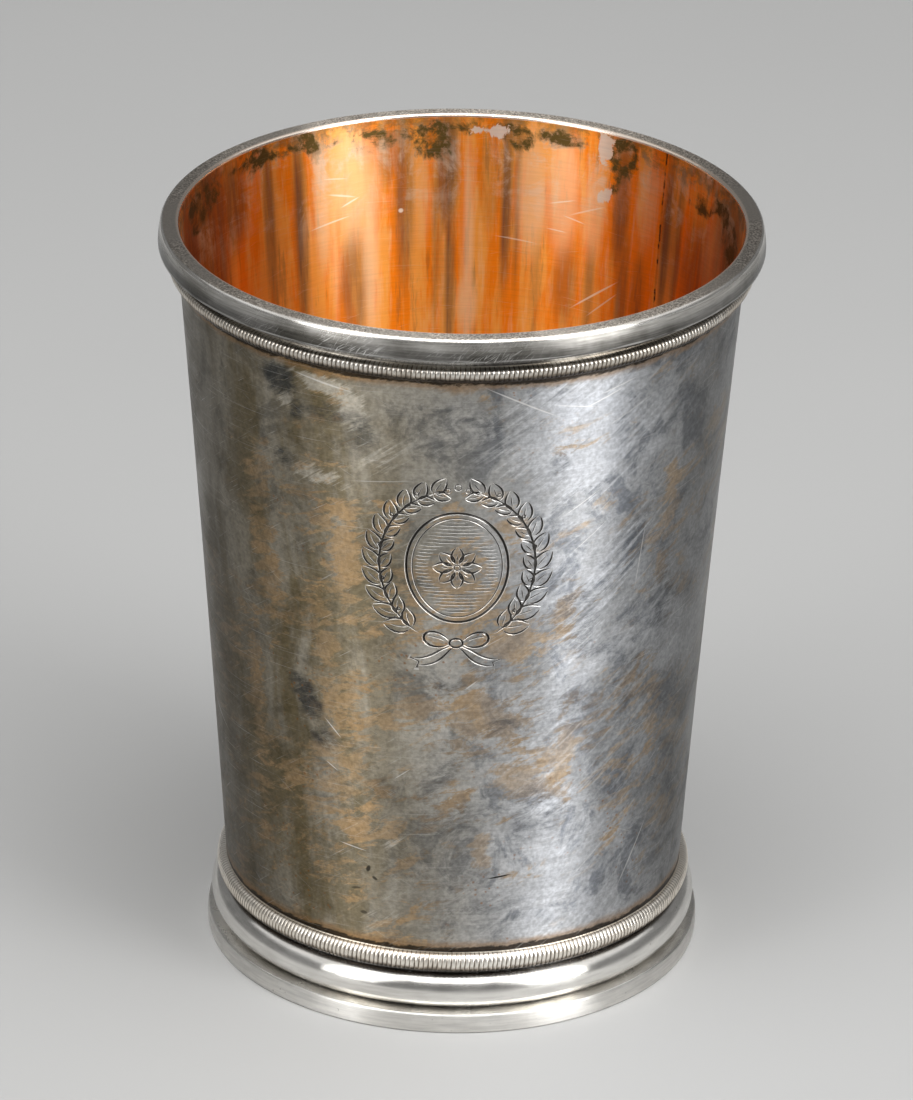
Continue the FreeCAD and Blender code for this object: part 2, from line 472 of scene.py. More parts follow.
# Where the silver was wiped nearly clean, and painted highlights where the two long lights lie
pale_stains_and_highlights = (
    (-28, 92.3, 4.4, 1.1, -10, 1), (-22, 89.5, 1.8, 2.6, 10, 0.9), (-37.5, 88.8, 1.1, 0.9, 20, 0.9),
    (-30.5, 79, 4.4, 1.2, -6, 0.7), (-14, 83, 4, 3, 10, 0.45), (22, 90, 6, 3.4, 0, 0.9),
    (25, 86, 9, 8, 0, 0.9), (19, 77, 1, 9, 0, 0.5), (33, 64, 3.4, 8, -30, 0.6), (24, 44, 1.6, 5, 0, 0.5),
    (23, 34, 3, 2.6, 20, 0.6), (20, 14.5, 5, 2.4, 8, 0.7), (-18, 15, 3.4, 2, 0, 0.4),
    (-15, 27, 3.4, 1.4, -10, 0.4), (150, 85, 8, 5, 10, 0.6), (-130, 60, 6, 9, 20, 0.5),
    (80, 70, 5, 9, -20, 0.5), (100, 22, 8, 4, 10, 0.5), (-95, 20, 7, 4, 0, 0.4),
)
print(f"outside: {len(dark_stains_and_shade)} dark, {len(amber_stains)} amber and {len(pale_stains_and_highlights)} pale stains")

# %% Scratches on the outside
# Each scratch or nick: angle, height, half length, half width, tilt, strength
scratches = (
    (12.7, 91.6, 4.4, 0.1, -29, 1), (24, 90.3, 2.6, 0.07, -12, 0.7), (33.5, 92, 2.4, 0.08, 14, 0.8),
    (37, 88, 3.4, 0.07, 24, 0.6), (27, 76.3, 2.6, 0.07, 32, 0.8), (43, 66, 4.2, 0.08, 84, 0.7),
    (49, 20.5, 4.6, 0.12, 58, 0.7), (35.5, 23, 4.4, 0.07, 40, 0.4), (-28.5, 92.6, 3.4, 0.12, -8, 0.6),
    (-29, 42.3, 1.5, 0.07, -45, 0.9), (-29.5, 36.6, 0.9, 0.07, -30, 0.9), (-12, 37.3, 1.2, 0.06, 38, 0.8),
    (-24.5, 25.2, 1.8, 0.07, -8, 0.8), (8, 57.2, 1.5, 0.06, 30, 0.6), (-16, 79.9, 3.4, 0.06, 8, 0.5),
    (3.5, 51, 0.9, 0.1, 40, 0.9), (30.5, 90.8, 2.6, 0.09, 20, 0.8), (29, 71, 3, 0.07, 38, 0.6),
    (100, 52, 5, 0.08, 35, 0.6), (-75, 35, 4, 0.08, -20, 0.6), (170, 80, 5, 0.08, 12, 0.7),
    (-140, 45, 4, 0.07, 50, 0.6),
)
nicks = (
    (11.2, 22.1, 1.5, 0.12, 8, 1), (-20.6, 22.3, 0.5, 0.3, 70, 0.9), (-24, 19, 0.7, 0.16, 10, 0.6),
    (-19, 21, 0.4, 0.2, -30, 0.8), (-22, 15.5, 0.5, 0.25, 0, 0.7),
)
print(f"outside: {len(scratches)} scratches and {len(nicks)} nicks")

# %% [markdown]
# The tarnish of the wall follows. Each layer is one noise or one table of stains, and the layers
# lie in the order in which they came: clouds, slate and olive film first, stains on them, and
# scratches and dirt last. Cloths were drawn round the beaker and up to the right, so the noises
# are stretched along those two directions.


# %% The wall's layers of tarnish
def tarnished(finish, up):
    """The colour of the outside before the scratches, and two noises that later layers need."""
    sideways = finish.sideways()
    clouds = finish.noise(finish.place, 42, 5, 0.6, 0.5)
    patches = finish.noise(finish.place, 130, 9, 0.7, 0.6)
    mottle = finish.noise(finish.swept(38, 3.6, 2.4), 1.0, 10, 0.74, 0.6)
    rubbed = finish.noise(finish.swept(38, 9.0, 0.8), 1.0, 5, 0.68, 0.3)
    colour = finish.mix(finish.ramp(clouds, 0.36, 0.66), dulled, bare)
    colour = finish.laid(colour, slate, finish.ramp(patches, 0.5, 0.62, 0, 0.6))

    # An olive film, thickest on the left
    left = finish.ramp(sideways, 6.0, -19.0, 0.15, 1.0)
    film = finish.noise(finish.stretched(finish.place, 1, 1, 0.3), 150, 5, 0.6, 0.3)
    colour = finish.laid(colour, olive_film, finish.times(left, finish.ramp(film, 0.36, 0.62, 0.25, 0.9)))

    # Places that were wiped clean, with painted highlights in the two long lights, and amber stains, which
    # get fewer towards the lip
    pale = eaten(finish, finish.number("pale"), rubbed, 2.4)
    colour = finish.laid(colour, bare, pale, 0.75)
    warm = finish.plus(finish.times(finish.number("warm"), 0.9), finish.ramp(clouds, 0.64, 0.36, 0.0, 0.42))
    warm = finish.plus(warm, finish.ramp(up, 72.0, 88.0, 0.0, -0.15))
    warm = finish.times(eaten(finish, warm, mottle, 5.0), finish.ramp(patches, 0.36, 0.6, 0.95, 0.5))
    colour = finish.laid(colour, amber, warm)

    # Dark stains, with painted shade in the middle of the front and low in the right-hand light
    dark = finish.times(finish.number("dark"), finish.ramp(mottle, 0.34, 0.62, 0.25, 1.15))
    dark = finish.times(finish.ramp(dark, 0.1, 0.8), finish.ramp(patches, 0.36, 0.6, 0.5, 0.9))
    colour = finish.laid(colour, blue_black, dark)

    # Strokes of the cloth, which lean up to the right, most on the right side
    right = finish.between(sideways, 10.0, 29.0, 7.0)
    share = finish.maths("MULTIPLY_ADD", right, 0.16, 0.06)
    colour = finish.laid(colour, fresh_cut_and_highlight, finish.times(finish.ramp(rubbed, 0.5, 0.66), share))
    colour = finish.laid(colour, slate, finish.times(finish.ramp(rubbed, 0.46, 0.32), share))
    return colour, patches, mottle


# %% [markdown]
# Over the tarnish comes what happened later: rusty specks, solder beside the wires, a line of painted
# shade in the creases at the wires, and scratches. A scratch cuts through the tarnish, so it is bright.
# The engraving is old, so its bottom is black, and its lips are rubbed bright and carry a painted highlight.


# %% Dirt, painted shade, scratches and the engraving on the wall
def worn_silver_finish():
    finish = brushed("worn_silver", 0.96)
    flat = finish.unrolled()
    across, up, _ = finish.parts(flat)
    colour, patches, mottle = tarnished(finish, up)
    grain = finish.noise(finish.place, 1700, 3, 0.6)
    wiped = finish.noise(finish.stretched(finish.place, 1, 1, 30), 130, 5, 0.65)

    # Fine rusty specks
    cells = finish.add("ShaderNodeTexVoronoi", finish.place, None, 1000.0, feature="F1").node
    where = finish.ramp(finish.noise(finish.place, 75, 3, 0.5), 0.56, 0.66)
    speck = finish.ramp(cells.outputs["Distance"], 0.24, 0.1)
    colour = finish.laid(colour, rust, finish.times(speck, where), 0.6)

    # Painted shade: both flanks are darker
    flank_shade_share = finish.between(finish.maths("ABSOLUTE", across), 30.0, 66.0, 9.0)
    colour = finish.laid(colour, flank_shade, flank_shade_share, 0.62)

    # Solder beside the wires, and a line of painted shade right along them, in the crease at the wall
    edge = finish.plus(up, finish.ramp(mottle, 0.3, 0.7, -0.35, 0.35))
    above_foot = finish.maths("SUBTRACT", edge, lower_wire_top)
    below_lip = finish.maths("SUBTRACT", upper_wire_low, edge)
    solder = finish.greatest(finish.ramp(above_foot, 1.9, 0.7), finish.ramp(below_lip, 1.5, 0.5))
    colour = finish.laid(colour, solder_brown, solder, 0.7)
    line = finish.greatest(finish.ramp(above_foot, 0.75, 0.45), finish.ramp(below_lip, 0.6, 0.3))
    colour = finish.laid(colour, soot_and_shade, line, 0.93)

    # Painted shade darkens the left, and a painted tint of light warms the left and cools the right
    sideways = finish.sideways()
    tone = finish.times(finish.ramp(wiped, 0.3, 0.7, 0.91, 1.08), finish.ramp(grain, 0.3, 0.7, 0.84, 1.16))
    colour = finish.toned(colour, finish.times(tone, finish.ramp(sideways, -26.0, 4.0, 0.72, 1.0)))
    light_tint = finish.mix(finish.ramp(sideways, -15.0, 14.0), warm_light_tint, cool_light_tint)
    colour = finish.mix(1.0, colour, light_tint, way="MULTIPLY")

    # Scratches, and the cuts of the engraving: lips rubbed bright with a painted highlight, and a dark bottom
    lines = hairlines(finish, (4, 10, 0.14, 0.37), (36, 7, 0.15, 0.36), (-28, 8, 0.14, 0.33))
    lines = finish.greatest(finish.times(lines, 0.4), spots(finish, flat, scratches, 0.35))
    colour = finish.laid(colour, fresh_cut_and_highlight, lines, 0.7)
    groove = finish.number("cut")
    colour = finish.laid(colour, fresh_cut_and_highlight, finish.ramp(groove, 0.0, 0.12, 0, 0.6))
    deep = finish.greatest(spots(finish, flat, nicks, 0.3), finish.ramp(groove, 0.16, 0.4, 0, 0.93))
    colour = finish.laid(colour, soot_and_shade, deep)

    roughness = finish.ramp(patches, 0.35, 0.7, 0.32, 0.43)
    roughness = finish.plus(roughness, finish.ramp(wiped, 0.3, 0.7, -0.04, 0.04))
    height = finish.plus(finish.times(wiped, 0.15), finish.times(lines, -0.6))
    return finish.done(colour, roughness, finish.bump(grain, 0.004, onto=finish.bump(height, 0.009)))


lower_wire_low, lower_wire_top = (corner.z for corner in box_of("lower_milled_wire"))
upper_wire_low = box_of("upper_milled_wire")[0].z
worn_silver = worn_silver_finish()
print(f"worn silver: {len(worn_silver.node_tree.nodes)} nodes")

# %% [markdown]
# The rim band was filed and stoned along its length, so its grain runs round the beaker. Its top
# was rubbed on a flat stone, which left it dull and full of fine pits. The direction in which the
# surface faces tells the two apart.

# %% Colours and marks of the rim band
dull_face, bright_face = (0.17, 0.16, 0.14), (0.46, 0.445, 0.42)
worn_edge, bright_edge = (0.68, 0.65, 0.60), (0.93, 0.91, 0.87)
pitted, stoned, painted_glint = (0.26, 0.225, 0.19), (0.74, 0.67, 0.59), (1.0, 0.95, 0.88)
smooth_top = (0.52, 0.475, 0.42)
gilt_edge_and_highlight = (0.97, 0.83, 0.70)

# Angle, height, half width, half height, tilt and strength, as for the stains
file_marks = (
    (-21, 100, 3.6, 2.6, 0, 1), (4, 100, 6.5, 2.6, 0, 0.8), (-40, 100, 3, 2, 0, 0.4),
    (95, 100, 6, 2, 0, 0.6), (-150, 100, 8, 2, 0, 0.6), (160, 100, 6, 2, 0, 0.6),
)
smooth_tops = (
    (-87, top, 6, 2, 0, 1), (100, top, 5, 2, 0, 1), (60, top, 4, 2, 0, 0.7), (-140, top, 5, 2, 0, 0.7),
    (20, top, 3, 2, 0, 0.5),
)


# %% The rim band's finish
def brushed_silver_finish():
    finish = brushed("brushed_silver", 0.8)
    tilt = finish.parts(finish.facing)[2]
    upward = finish.ramp(tilt, 0.8, 0.97)
    flat = finish.unrolled()
    up = finish.parts(flat)[1]
    drawn = finish.noise(finish.stretched(finish.place, 1, 1, 26), 160, 5, 0.65)
    clouds = finish.noise(finish.place, 60, 5, 0.6)

    # The face: drawn silver with dull clouds, painted shade low down, and darker on the left
    face = finish.mix(finish.ramp(clouds, 0.4, 0.62), dull_face, bright_face)
    face = finish.toned(face, finish.ramp(drawn, 0.32, 0.68, 0.7, 1.2))
    face = finish.toned(face, finish.ramp(up, band_low + 0.5, top - 0.8, 0.5, 1.25))
    face = finish.toned(face, finish.ramp(finish.sideways(), -30.0, -8.0, 0.72, 1.0))

    # Marks of a file, a painted highlight on the lower edge, and the rounding that every hand rubs
    filed = spots(finish, ragged(finish, flat, 2.0, 200), file_marks, 0.5)
    chatter = hairlines(finish, (40, 2.2, 0.14, 0.44), (62, 1.8, 0.16, 0.42))
    face = finish.laid(face, fresh_cut_and_highlight, finish.times(chatter, filed), 0.7)
    # Painted highlight along the band's thin lower lip
    edge = finish.between(up, band_low + 0.1, band_low + 0.36, 0.05)
    face = finish.laid(face, fresh_cut_and_highlight, finish.times(edge, finish.ramp(drawn, 0.4, 0.65, 0.0, 0.4)))
    rounded = finish.between(tilt, 0.22, 0.9, 0.12)
    face = finish.laid(face, finish.mix(finish.ramp(drawn, 0.4, 0.6), worn_edge, bright_edge), rounded)

    # The top: ground on a stone, grainy, with painted glints, smooth spots and the gilding's edge, which is
    # painted pale
    pits = finish.noise(finish.place, 3600, 3, 0.75)
    stone = finish.mix(finish.ramp(pits, 0.38, 0.6), pitted, stoned)
    stone = finish.laid(stone, painted_glint, finish.ramp(pits, 0.58, 0.68))
    dull = finish.ramp(finish.noise(finish.place, 110, 4, 0.6), 0.56, 0.64, 0, 0.7)
    smooth = finish.greatest(dull, spots(finish, flat, smooth_tops, 0.3))
    stone = finish.laid(stone, smooth_top, smooth, 0.85)
    colour = finish.mix(upward, face, stone)
    # The gilding's edge over the lip, made pale as a painted highlight
    gilded = finish.ramp(finish.from_axis(), lip_inner + 0.15, lip_inner - 0.15)
    colour = finish.laid(colour, gilt_edge_and_highlight, gilded, 0.85)

    roughness = finish.plus(finish.ramp(clouds, 0.35, 0.65, 0.26, 0.38), finish.times(upward, 0.1))
    roughness = finish.plus(roughness, finish.times(rounded, -0.1))
    rough_top = finish.times(finish.times(pits, upward), finish.maths("SUBTRACT", 1.0, smooth))
    return finish.done(colour, roughness, finish.bump(rough_top, 0.04, onto=finish.bump(drawn, 0.01)))


brushed_silver = brushed_silver_finish()
print(f"brushed silver: {len(brushed_silver.node_tree.nodes)} nodes")

# %% [markdown]
# The ribs of the milled wires were rubbed bright on their crests, while their cuts kept a century
# of polish and soot. The mesh carries a number called cut, which is one at the bottom of a cut and
# on the lower side, where it is painted shade. The upper wire lies in the shade of the band, and its
# crests are painted darker.

# %% The milled wires' finish
warm_crest, pale_crest = (0.84, 0.78, 0.69), (0.96, 0.92, 0.85)
brown_dirt_and_shade, black_dirt_and_shade = (0.30, 0.235, 0.17), (0.04, 0.03, 0.022)


def milled_silver_finish():
    finish = Finish("milled_silver", Metallic=1.0)
    up = finish.parts(finish.unrolled())[1]
    clouds = finish.noise(finish.place, 90, 4, 0.6)
    grain = finish.noise(finish.place, 900, 4, 0.7)
    crest = finish.mix(finish.ramp(clouds, 0.4, 0.65), warm_crest, pale_crest)
    crest = finish.toned(crest, finish.ramp(up, middle_height - 10, middle_height + 10, 1.0, 0.7))
    dirt_and_shade_share = finish.plus(finish.number("cut"), finish.ramp(grain, 0.3, 0.7, -0.12, 0.12))
    colour = finish.laid(crest, brown_dirt_and_shade, finish.ramp(dirt_and_shade_share, 0.2, 0.6, 0, 0.75))
    colour = finish.laid(colour, black_dirt_and_shade, finish.ramp(dirt_and_shade_share, 0.4, 0.9))
    return finish.done(colour, finish.ramp(grain, 0.3, 0.7, 0.26, 0.38), finish.bump(grain, 0.008))


milled_silver = milled_silver_finish()
print(f"milled silver: {len(milled_silver.node_tree.nodes)} nodes")

# %% [markdown]
# The moulding and the foot ring are the parts that a polishing cloth reaches best. They are nearly
# mirrors, with a haze of fine scratches, and with brown tarnish only in the corners between them.
# The strip of wall above the upper wire has the same finish, with painted shade under the band.

# %% The foot's finish
hazy, clear = (0.74, 0.72, 0.68), (0.90, 0.88, 0.84)
corner_brown = (0.30, 0.15, 0.06)
pit_brown = (0.2, 0.18, 0.15)


def polished_silver_finish():
    finish = brushed("polished_silver", 0.96)
    up = finish.parts(finish.unrolled())[1]
    haze = finish.noise(finish.place, 70, 5, 0.6)
    grain = finish.noise(finish.place, 700, 5, 0.7)
    drawn = finish.noise(finish.stretched(finish.place, 1, 1, 12), 200, 4, 0.6)
    upright = finish.noise(finish.stretched(finish.place, 1, 1, 0.1), 260, 4, 0.7)
    colour = finish.mix(finish.ramp(haze, 0.35, 0.65), hazy, clear)
    colour = finish.toned(colour, finish.ramp(drawn, 0.3, 0.7, 0.88, 1.08))

    # Polish never reaches the corners at the wall, over the ring and under the lower wire
    from_wall = finish.maths("SUBTRACT", finish.from_axis(), wall_line(foot_top))
    from_wall = finish.plus(from_wall, finish.ramp(grain, 0.3, 0.7, -0.3, 0.3))
    over_ring = finish.ramp(up, foot_top + 0.9, foot_top + 0.5)
    under_wire = finish.between(up, lower_wire_low - 0.65, lower_wire_low - 0.1, 0.1)
    grime = finish.greatest(
        finish.times(finish.ramp(from_wall, 0.5, 0.2), over_ring),
        finish.times(finish.ramp(from_wall, 0.7, 0.4, 0.0, 0.5), under_wire),
    )
    patchy = finish.ramp(finish.noise(finish.place, 130, 4, 0.6), 0.42, 0.58, 0.25, 1.0)
    grime = finish.times(grime, patchy)
    brown = finish.mix(finish.ramp(grain, 0.5, 0.66), black_dirt_and_shade, corner_brown)
    colour = finish.laid(colour, brown, grime, 0.85)
    # Painted shade on the strip of wall under the band
    under_band_shade = finish.times(finish.ramp(up, upper_wire_low + 2.0, upper_wire_low + 2.4), patchy)
    colour = finish.laid(colour, soot_and_shade, under_band_shade, 0.8)
    pits = finish.ramp(finish.noise(finish.place, 1900, 2, 0.5), 0.7, 0.78)
    colour = finish.laid(colour, pit_brown, pits, 0.6)

    # The ring's face was drawn along its length, and is duller than the moulding
    face = finish.ramp(up, foot_top + 0.2, foot_top - 0.3)
    roughness = finish.plus(finish.ramp(haze, 0.35, 0.7, 0.15, 0.22), finish.times(face, 0.2))
    roughness = finish.plus(roughness, finish.times(grime, 0.25))
    height = finish.plus(finish.times(grain, 0.3), finish.times(upright, face))
    return finish.done(colour, roughness, finish.bump(height, 0.012))


polished_silver = polished_silver_finish()
print(f"polished silver: {len(polished_silver.node_tree.nodes)} nodes")

# %% [markdown]
# The gold wash inside is thin. It is brown and deep orange low down, pale in upright streaks where it
# is worn and where painted reflections of the lamps lie, and mostly gone along the lip, where olive
# stains and pinkish bare silver show through. The seam of the rolled sheet shows as a broken dark line.

# %% Colours of the gilding
gold = (1.0, 0.43, 0.08)
deep_gold = (0.99, 0.28, 0.012)
pale_gold = (0.98, 0.66, 0.38)
rubbed_gold = (0.90, 0.74, 0.58)
scratched_gold = (1.0, 0.88, 0.72)
pinkish_silver = (0.84, 0.76, 0.66)
olive = (0.15, 0.10, 0.03)
umber = (0.16, 0.085, 0.055)
seam_brown = (0.06, 0.03, 0.015)
seam_degrees = 132.4

# %% [markdown]
# Inside, most marks stand upright, as liquids ran and fingers wiped. Many of the pale streaks are also
# painted reflections of the lamps on the far wall, and some dark streaks are painted shade between them.
# They are ovals like the stains outside, with angles near 180 degrees for the far side, which the
# camera sees.

# %% Stains and streaks inside
lip_stains = (
    (143.5, 98.6, 2.4, 2.4, -30, 1), (145.5, 95.5, 0.8, 2.4, 0, 0.6), (176, 99.8, 9, 1.4, 0, 0.9),
    (160, 100, 6, 1.2, 0, 0.6), (167.5, 98.6, 2, 1.8, 0, 1), (-166, 99.4, 7, 1.6, 0, 0.6),
    (-157, 99.8, 5, 1.2, 0, 0.5), (-142, 99.6, 4, 1.6, 0, 0.6), (-130, 99.8, 5, 1.4, 0, 0.9),
    (119, 96.6, 2, 1.4, 20, 1), (111, 98, 2.6, 1.2, 0, 1), (123.5, 96.8, 0.9, 0.8, 0, 0.9),
    (100, 94, 6, 5, 0, 0.5), (-110, 98, 6, 2.6, 0, 0.8), (-173, 97.2, 3, 1.6, 0, 0.7),
    (10, 98.5, 9, 2, 0, 0.7), (-60, 98.8, 9, 1.6, 0, 0.7), (60, 98.8, 8, 1.6, 0, 0.7),
)
bare_spots = (
    (148.8, 98.9, 1.1, 1.4, 0, 1), (148, 92.7, 0.8, 1.2, 0, 0.9), (174.5, 99.8, 2.6, 1.1, 0, 1),
    (179, 100.2, 1.6, 0.8, 0, 0.9), (-128, 100.4, 6, 0.6, 0, 0.8), (128, 100.6, 7, 0.5, 0, 0.8),
    (116, 100.5, 7, 0.6, 0, 0.8), (150.5, 100.5, 3, 0.7, 0, 0.9),
)
pale_streaks_and_reflections = (
    (-148.2, 91, 1.1, 9, 0, 0.9), (-155.5, 93, 3.4, 8, 0, 0.8), (-159.5, 84, 1, 13, 0, 0.9),
    (-151, 84, 0.6, 9, 0, 0.6), (165, 91, 1.9, 8, 0, 0.8), (157.8, 92, 2, 8, 0, 0.9),
    (150.5, 90, 1.6, 6, 0, 0.7), (178.8, 82, 0.6, 15, 0, 1), (178.7, 75, 1.2, 4, 0, 1),
    (136.5, 94, 1.4, 6, 0, 0.6), (-171.5, 90, 0.8, 6, 0, 0.4), (112, 90, 3, 6, 0, 0.5),
    (30, 70, 3, 14, 0, 0.6), (-60, 60, 3, 16, 0, 0.5),
)
dark_streaks_and_shade = (
    (-176.6, 94, 1.3, 8, 0, 1), (-177.2, 78, 0.6, 12, 0, 0.9), (-142.6, 88, 0.9, 15, 0, 0.9),
    (-155.8, 79, 2.2, 8, 0, 0.7), (-167.2, 90, 1.1, 12, 0, 0.75), (-134.2, 90, 0.9, 12, 0, 0.7),
    (-174.2, 84, 0.5, 11, 0, 0.5), (170.6, 90, 0.6, 12, 0, 0.9), (168.3, 90, 0.4, 12, 0, 0.7),
    (174, 93, 1.4, 7, 0, 0.3), (156.5, 79, 1.6, 6, 0, 0.5), (143.6, 91, 1.1, 8, 0, 0.85),
    (142, 80, 1, 8, 0, 0.6), (130.4, 90, 0.9, 11, 0, 0.9), (126.8, 89, 0.8, 10, 0, 0.7),
    (-113, 92, 4.6, 12, 0, 0.85), (-122, 95, 3, 6, 0, 0.8), (-100, 86, 6, 14, 0, 0.9),
    (118, 86, 4, 8, 0, 0.6), (103, 88, 6, 14, 0, 0.85), (150.6, 79, 0.7, 7, 0, 0.5),
    (-163.5, 96, 1.2, 4, 0, 0.5), (163.2, 79, 0.6, 6, 0, 0.4), (137.6, 80, 1, 6, 0, 0.5),
    (-20, 80, 3, 16, 0, 0.6), (50, 75, 4, 14, 0, 0.5), (-50, 85, 2, 12, 0, 0.6),
)
inner_scratches = (
    (149, 78.6, 3.6, 0.13, -38, 0.9), (147, 77.4, 2.6, 0.1, -44, 0.7), (-150, 88, 2.6, 0.12, -10, 0.8),
    (-153, 91.5, 1.8, 0.14, 14, 0.8), (-155, 90.4, 1.2, 0.12, -24, 0.9), (-151.5, 94, 1.5, 0.1, 8, 0.7),
    (158, 90.6, 1.6, 0.1, -16, 0.8), (155, 88.4, 1.4, 0.1, 12, 0.7), (159, 86.5, 1.2, 0.1, 4, 0.7),
    (168, 84.5, 2.4, 0.1, 6, 0.6), (152, 90, 2.4, 0.12, -24, 0.6), (-166.5, 88.4, 0.3, 0.3, 0, 1),
)
print(f"inside: {len(lip_stains)} stains, {len(pale_streaks_and_reflections) + len(dark_streaks_and_shade)} streaks")


# %% The gilding
def gilding_finish():
    finish = brushed("gilding", 0.96)
    flat = finish.unrolled()
    up = finish.parts(flat)[1]
    upright = finish.noise(finish.stretched(finish.place, 1, 1, 0.07), 300, 6, 0.64, 0.1)
    fine_upright = finish.noise(finish.stretched(finish.place, 1, 1, 0.06), 760, 4, 0.65)
    patches = finish.noise(finish.place, 170, 6, 0.7, 0.5)
    wiped = finish.noise(finish.stretched(finish.place, 1, 1, 22), 170, 5, 0.7)

    # Gold in upright streaks, and where it was worn thin
    colour = finish.mix(finish.ramp(upright, 0.43, 0.56), deep_gold, gold)
    colour = finish.laid(colour, pale_gold, finish.ramp(fine_upright, 0.54, 0.74, 0, 0.36))
    colour = finish.laid(colour, umber, finish.ramp(fine_upright, 0.44, 0.3, 0, 0.34))
    uneven = finish.ramp(fine_upright, 0.35, 0.6, 0.62, 0.9)
    # Dark and pale streaks from the tables: stains and wear, with painted shade and painted reflections
    colour = finish.laid(colour, umber, finish.times(finish.number("dark"), uneven))
    colour = finish.laid(colour, pale_gold, finish.number("pale"), 0.66)
    worn = finish.times(finish.ramp(patches, 0.46, 0.62), finish.ramp(up, 82.0, 98.0))
    worn = finish.times(worn, finish.ramp(upright, 0.4, 0.6, 0.15, 0.6))
    colour = finish.laid(colour, rubbed_gold, worn)
    bare_metal = finish.ramp(eaten(finish, finish.number("bare"), patches, 3.4), 0.2, 0.8)
    colour = finish.laid(colour, pinkish_silver, bare_metal, 0.85)

    # Olive stains along the lip, but not on bare silver
    ragged_up = finish.plus(up, finish.ramp(patches, 0.3, 0.7, -3.0, 2.4))
    along_lip = finish.times(finish.ramp(ragged_up, top - 3.6, top - 1.0), 0.55)
    stain = finish.greatest(along_lip, eaten(finish, finish.number("warm"), patches, 3.4))
    blotch = finish.ramp(finish.noise(finish.place, 420, 6, 0.7), 0.4, 0.55, 0.35, 1.0)
    stain = finish.times(finish.times(stain, blotch), finish.ramp(bare_metal, 0.2, 0.6, 1.0, 0.0))
    colour = finish.laid(colour, olive, stain)

    # The seam: a broken dark line
    around_mm = finish.parts(ragged(finish, flat, 0.5, 500))[0]
    seam_mm = math.radians(seam_degrees) * mean_radius
    seam = finish.between(around_mm, seam_mm - 0.12, seam_mm + 0.12, 0.1)
    broken = finish.ramp(finish.noise(finish.place, 520, 2, 0.5), 0.46, 0.54, 0.15, 1.0)
    colour = finish.laid(colour, seam_brown, finish.times(seam, broken))

    colour = finish.toned(colour, finish.ramp(wiped, 0.3, 0.7, 0.95, 1.04))
    lines = finish.times(hairlines(finish, (4, 6, 0.14, 0.37), (-14, 5, 0.14, 0.35)), 0.25)
    lines = finish.greatest(lines, spots(finish, flat, inner_scratches, 0.35))
    colour = finish.laid(colour, scratched_gold, lines, 0.75)
    height = finish.plus(finish.times(wiped, 0.15), fine_upright)
    return finish.done(colour, finish.ramp(patches, 0.35, 0.65, 0.54, 0.62), finish.bump(height, 0.01))


gilding = gilding_finish()
print(f"gilding: {len(gilding.node_tree.nodes)} nodes")

# %% [markdown]
# Nothing on an old beaker is perfectly round. The sheet was rolled, hammered and soldered by hand,
# so its radius wanders by a few hundredths of a millimetre, and it has a dent or two. These slow
# waves are what makes reflections in old silver swim, and they are made in the mesh.

# %% Waves and dents of the wall
wave_turns = np.array([2, 3, 5, 8, 13, 19, 27])
wave_sizes = np.array([0.05, 0.04, 0.025, 0.012, 0.007, 0.004, 0.0025])
wave_starts = np.random.default_rng(7).uniform(0, 2 * math.pi, (2, len(wave_turns)))

# Each dent: its angle in degrees, its height, its reach and its depth
dents = ((-35.5, 87, 2.6, 0.10), (-39.2, 80.5, 1.7, 0.06), (-30, 43, 7, 0.12), (52, 30, 9, 0.14))
still_ends = 12


def wall_waves(angle, height):
    """How far the wall strays from its true radius, in millimetres."""
    stray = 0 * angle
    for turns, size, start, climb in zip(wave_turns, wave_sizes, *wave_starts):
        stray = stray + size * np.sin(turns * angle + start) * np.cos(height / top * math.pi + climb)
    for degrees, centre, reach, depth in dents:
        across = (angle - math.radians(degrees)) * mean_radius
        stray = stray - depth * np.exp(-((across / reach) ** 2 + ((height - centre) / reach) ** 2))
    still = np.clip((top - height) / still_ends, 0, 1) * np.clip((height - wall_low) / still_ends, 0, 1)
    return stray * still


print(f"waves of the wall: up to {wave_sizes.sum():.2f} mm, and {len(dents)} dents")

# %% [markdown]
# The ornament on the front is cut with a graver, whose corner ploughs a V in the silver. A light cut
# is narrow and shallow, a heavy one wide and deep, and a stroke swells and fades as the hand leans.
# So each stroke here is a line of points with a half width at each one. The ornament is an oval
# hatched field with a rosette, in a wreath of leaves tied with a bow.


# %% Strokes of the graver
def bend(*points, steps=12):
    """A smooth curve drawn by its control points."""
    count = len(points) - 1
    share = np.linspace(0, 1, steps + 1)[:, None]
    weights = [math.comb(count, k) * share**k * (1 - share) ** (count - k) for k in range(count + 1)]
    return sum(weight * np.array(point) for weight, point in zip(weights, points))


def stroke(points, width, swell=0.5):
    """A cut that swells from nothing to its full width and fades again."""
    points = np.asarray(points, dtype=float)
    share = np.linspace(0, 1, len(points))
    return np.column_stack([points, width / 2 * np.sin(math.pi * share) ** swell])


def closed_stroke(points, width):
    """A cut of even width that runs back into its own start."""
    points = np.asarray(points, dtype=float)
    return np.column_stack([points, np.full(len(points), width / 2)])


def oval(half_across, half_up, steps):
    turn = np.linspace(0, 2 * math.pi, steps + 1)
    return np.column_stack([half_across * np.cos(turn), half_up * np.sin(turn)])


def placed(points, base, degrees=0):
    """Turn points and move them to a base."""
    turn = math.radians(degrees)
    across = points[:, 0] * math.cos(turn) - points[:, 1] * math.sin(turn)
    up = points[:, 0] * math.sin(turn) + points[:, 1] * math.cos(turn)
    return np.column_stack([across + base[0], up + base[1]])


outline_width = 0.44
leaf_width = 0.38
fine_width = 0.24
hair_width = 0.20
print(f"cuts {hair_width} to {outline_width} mm wide")

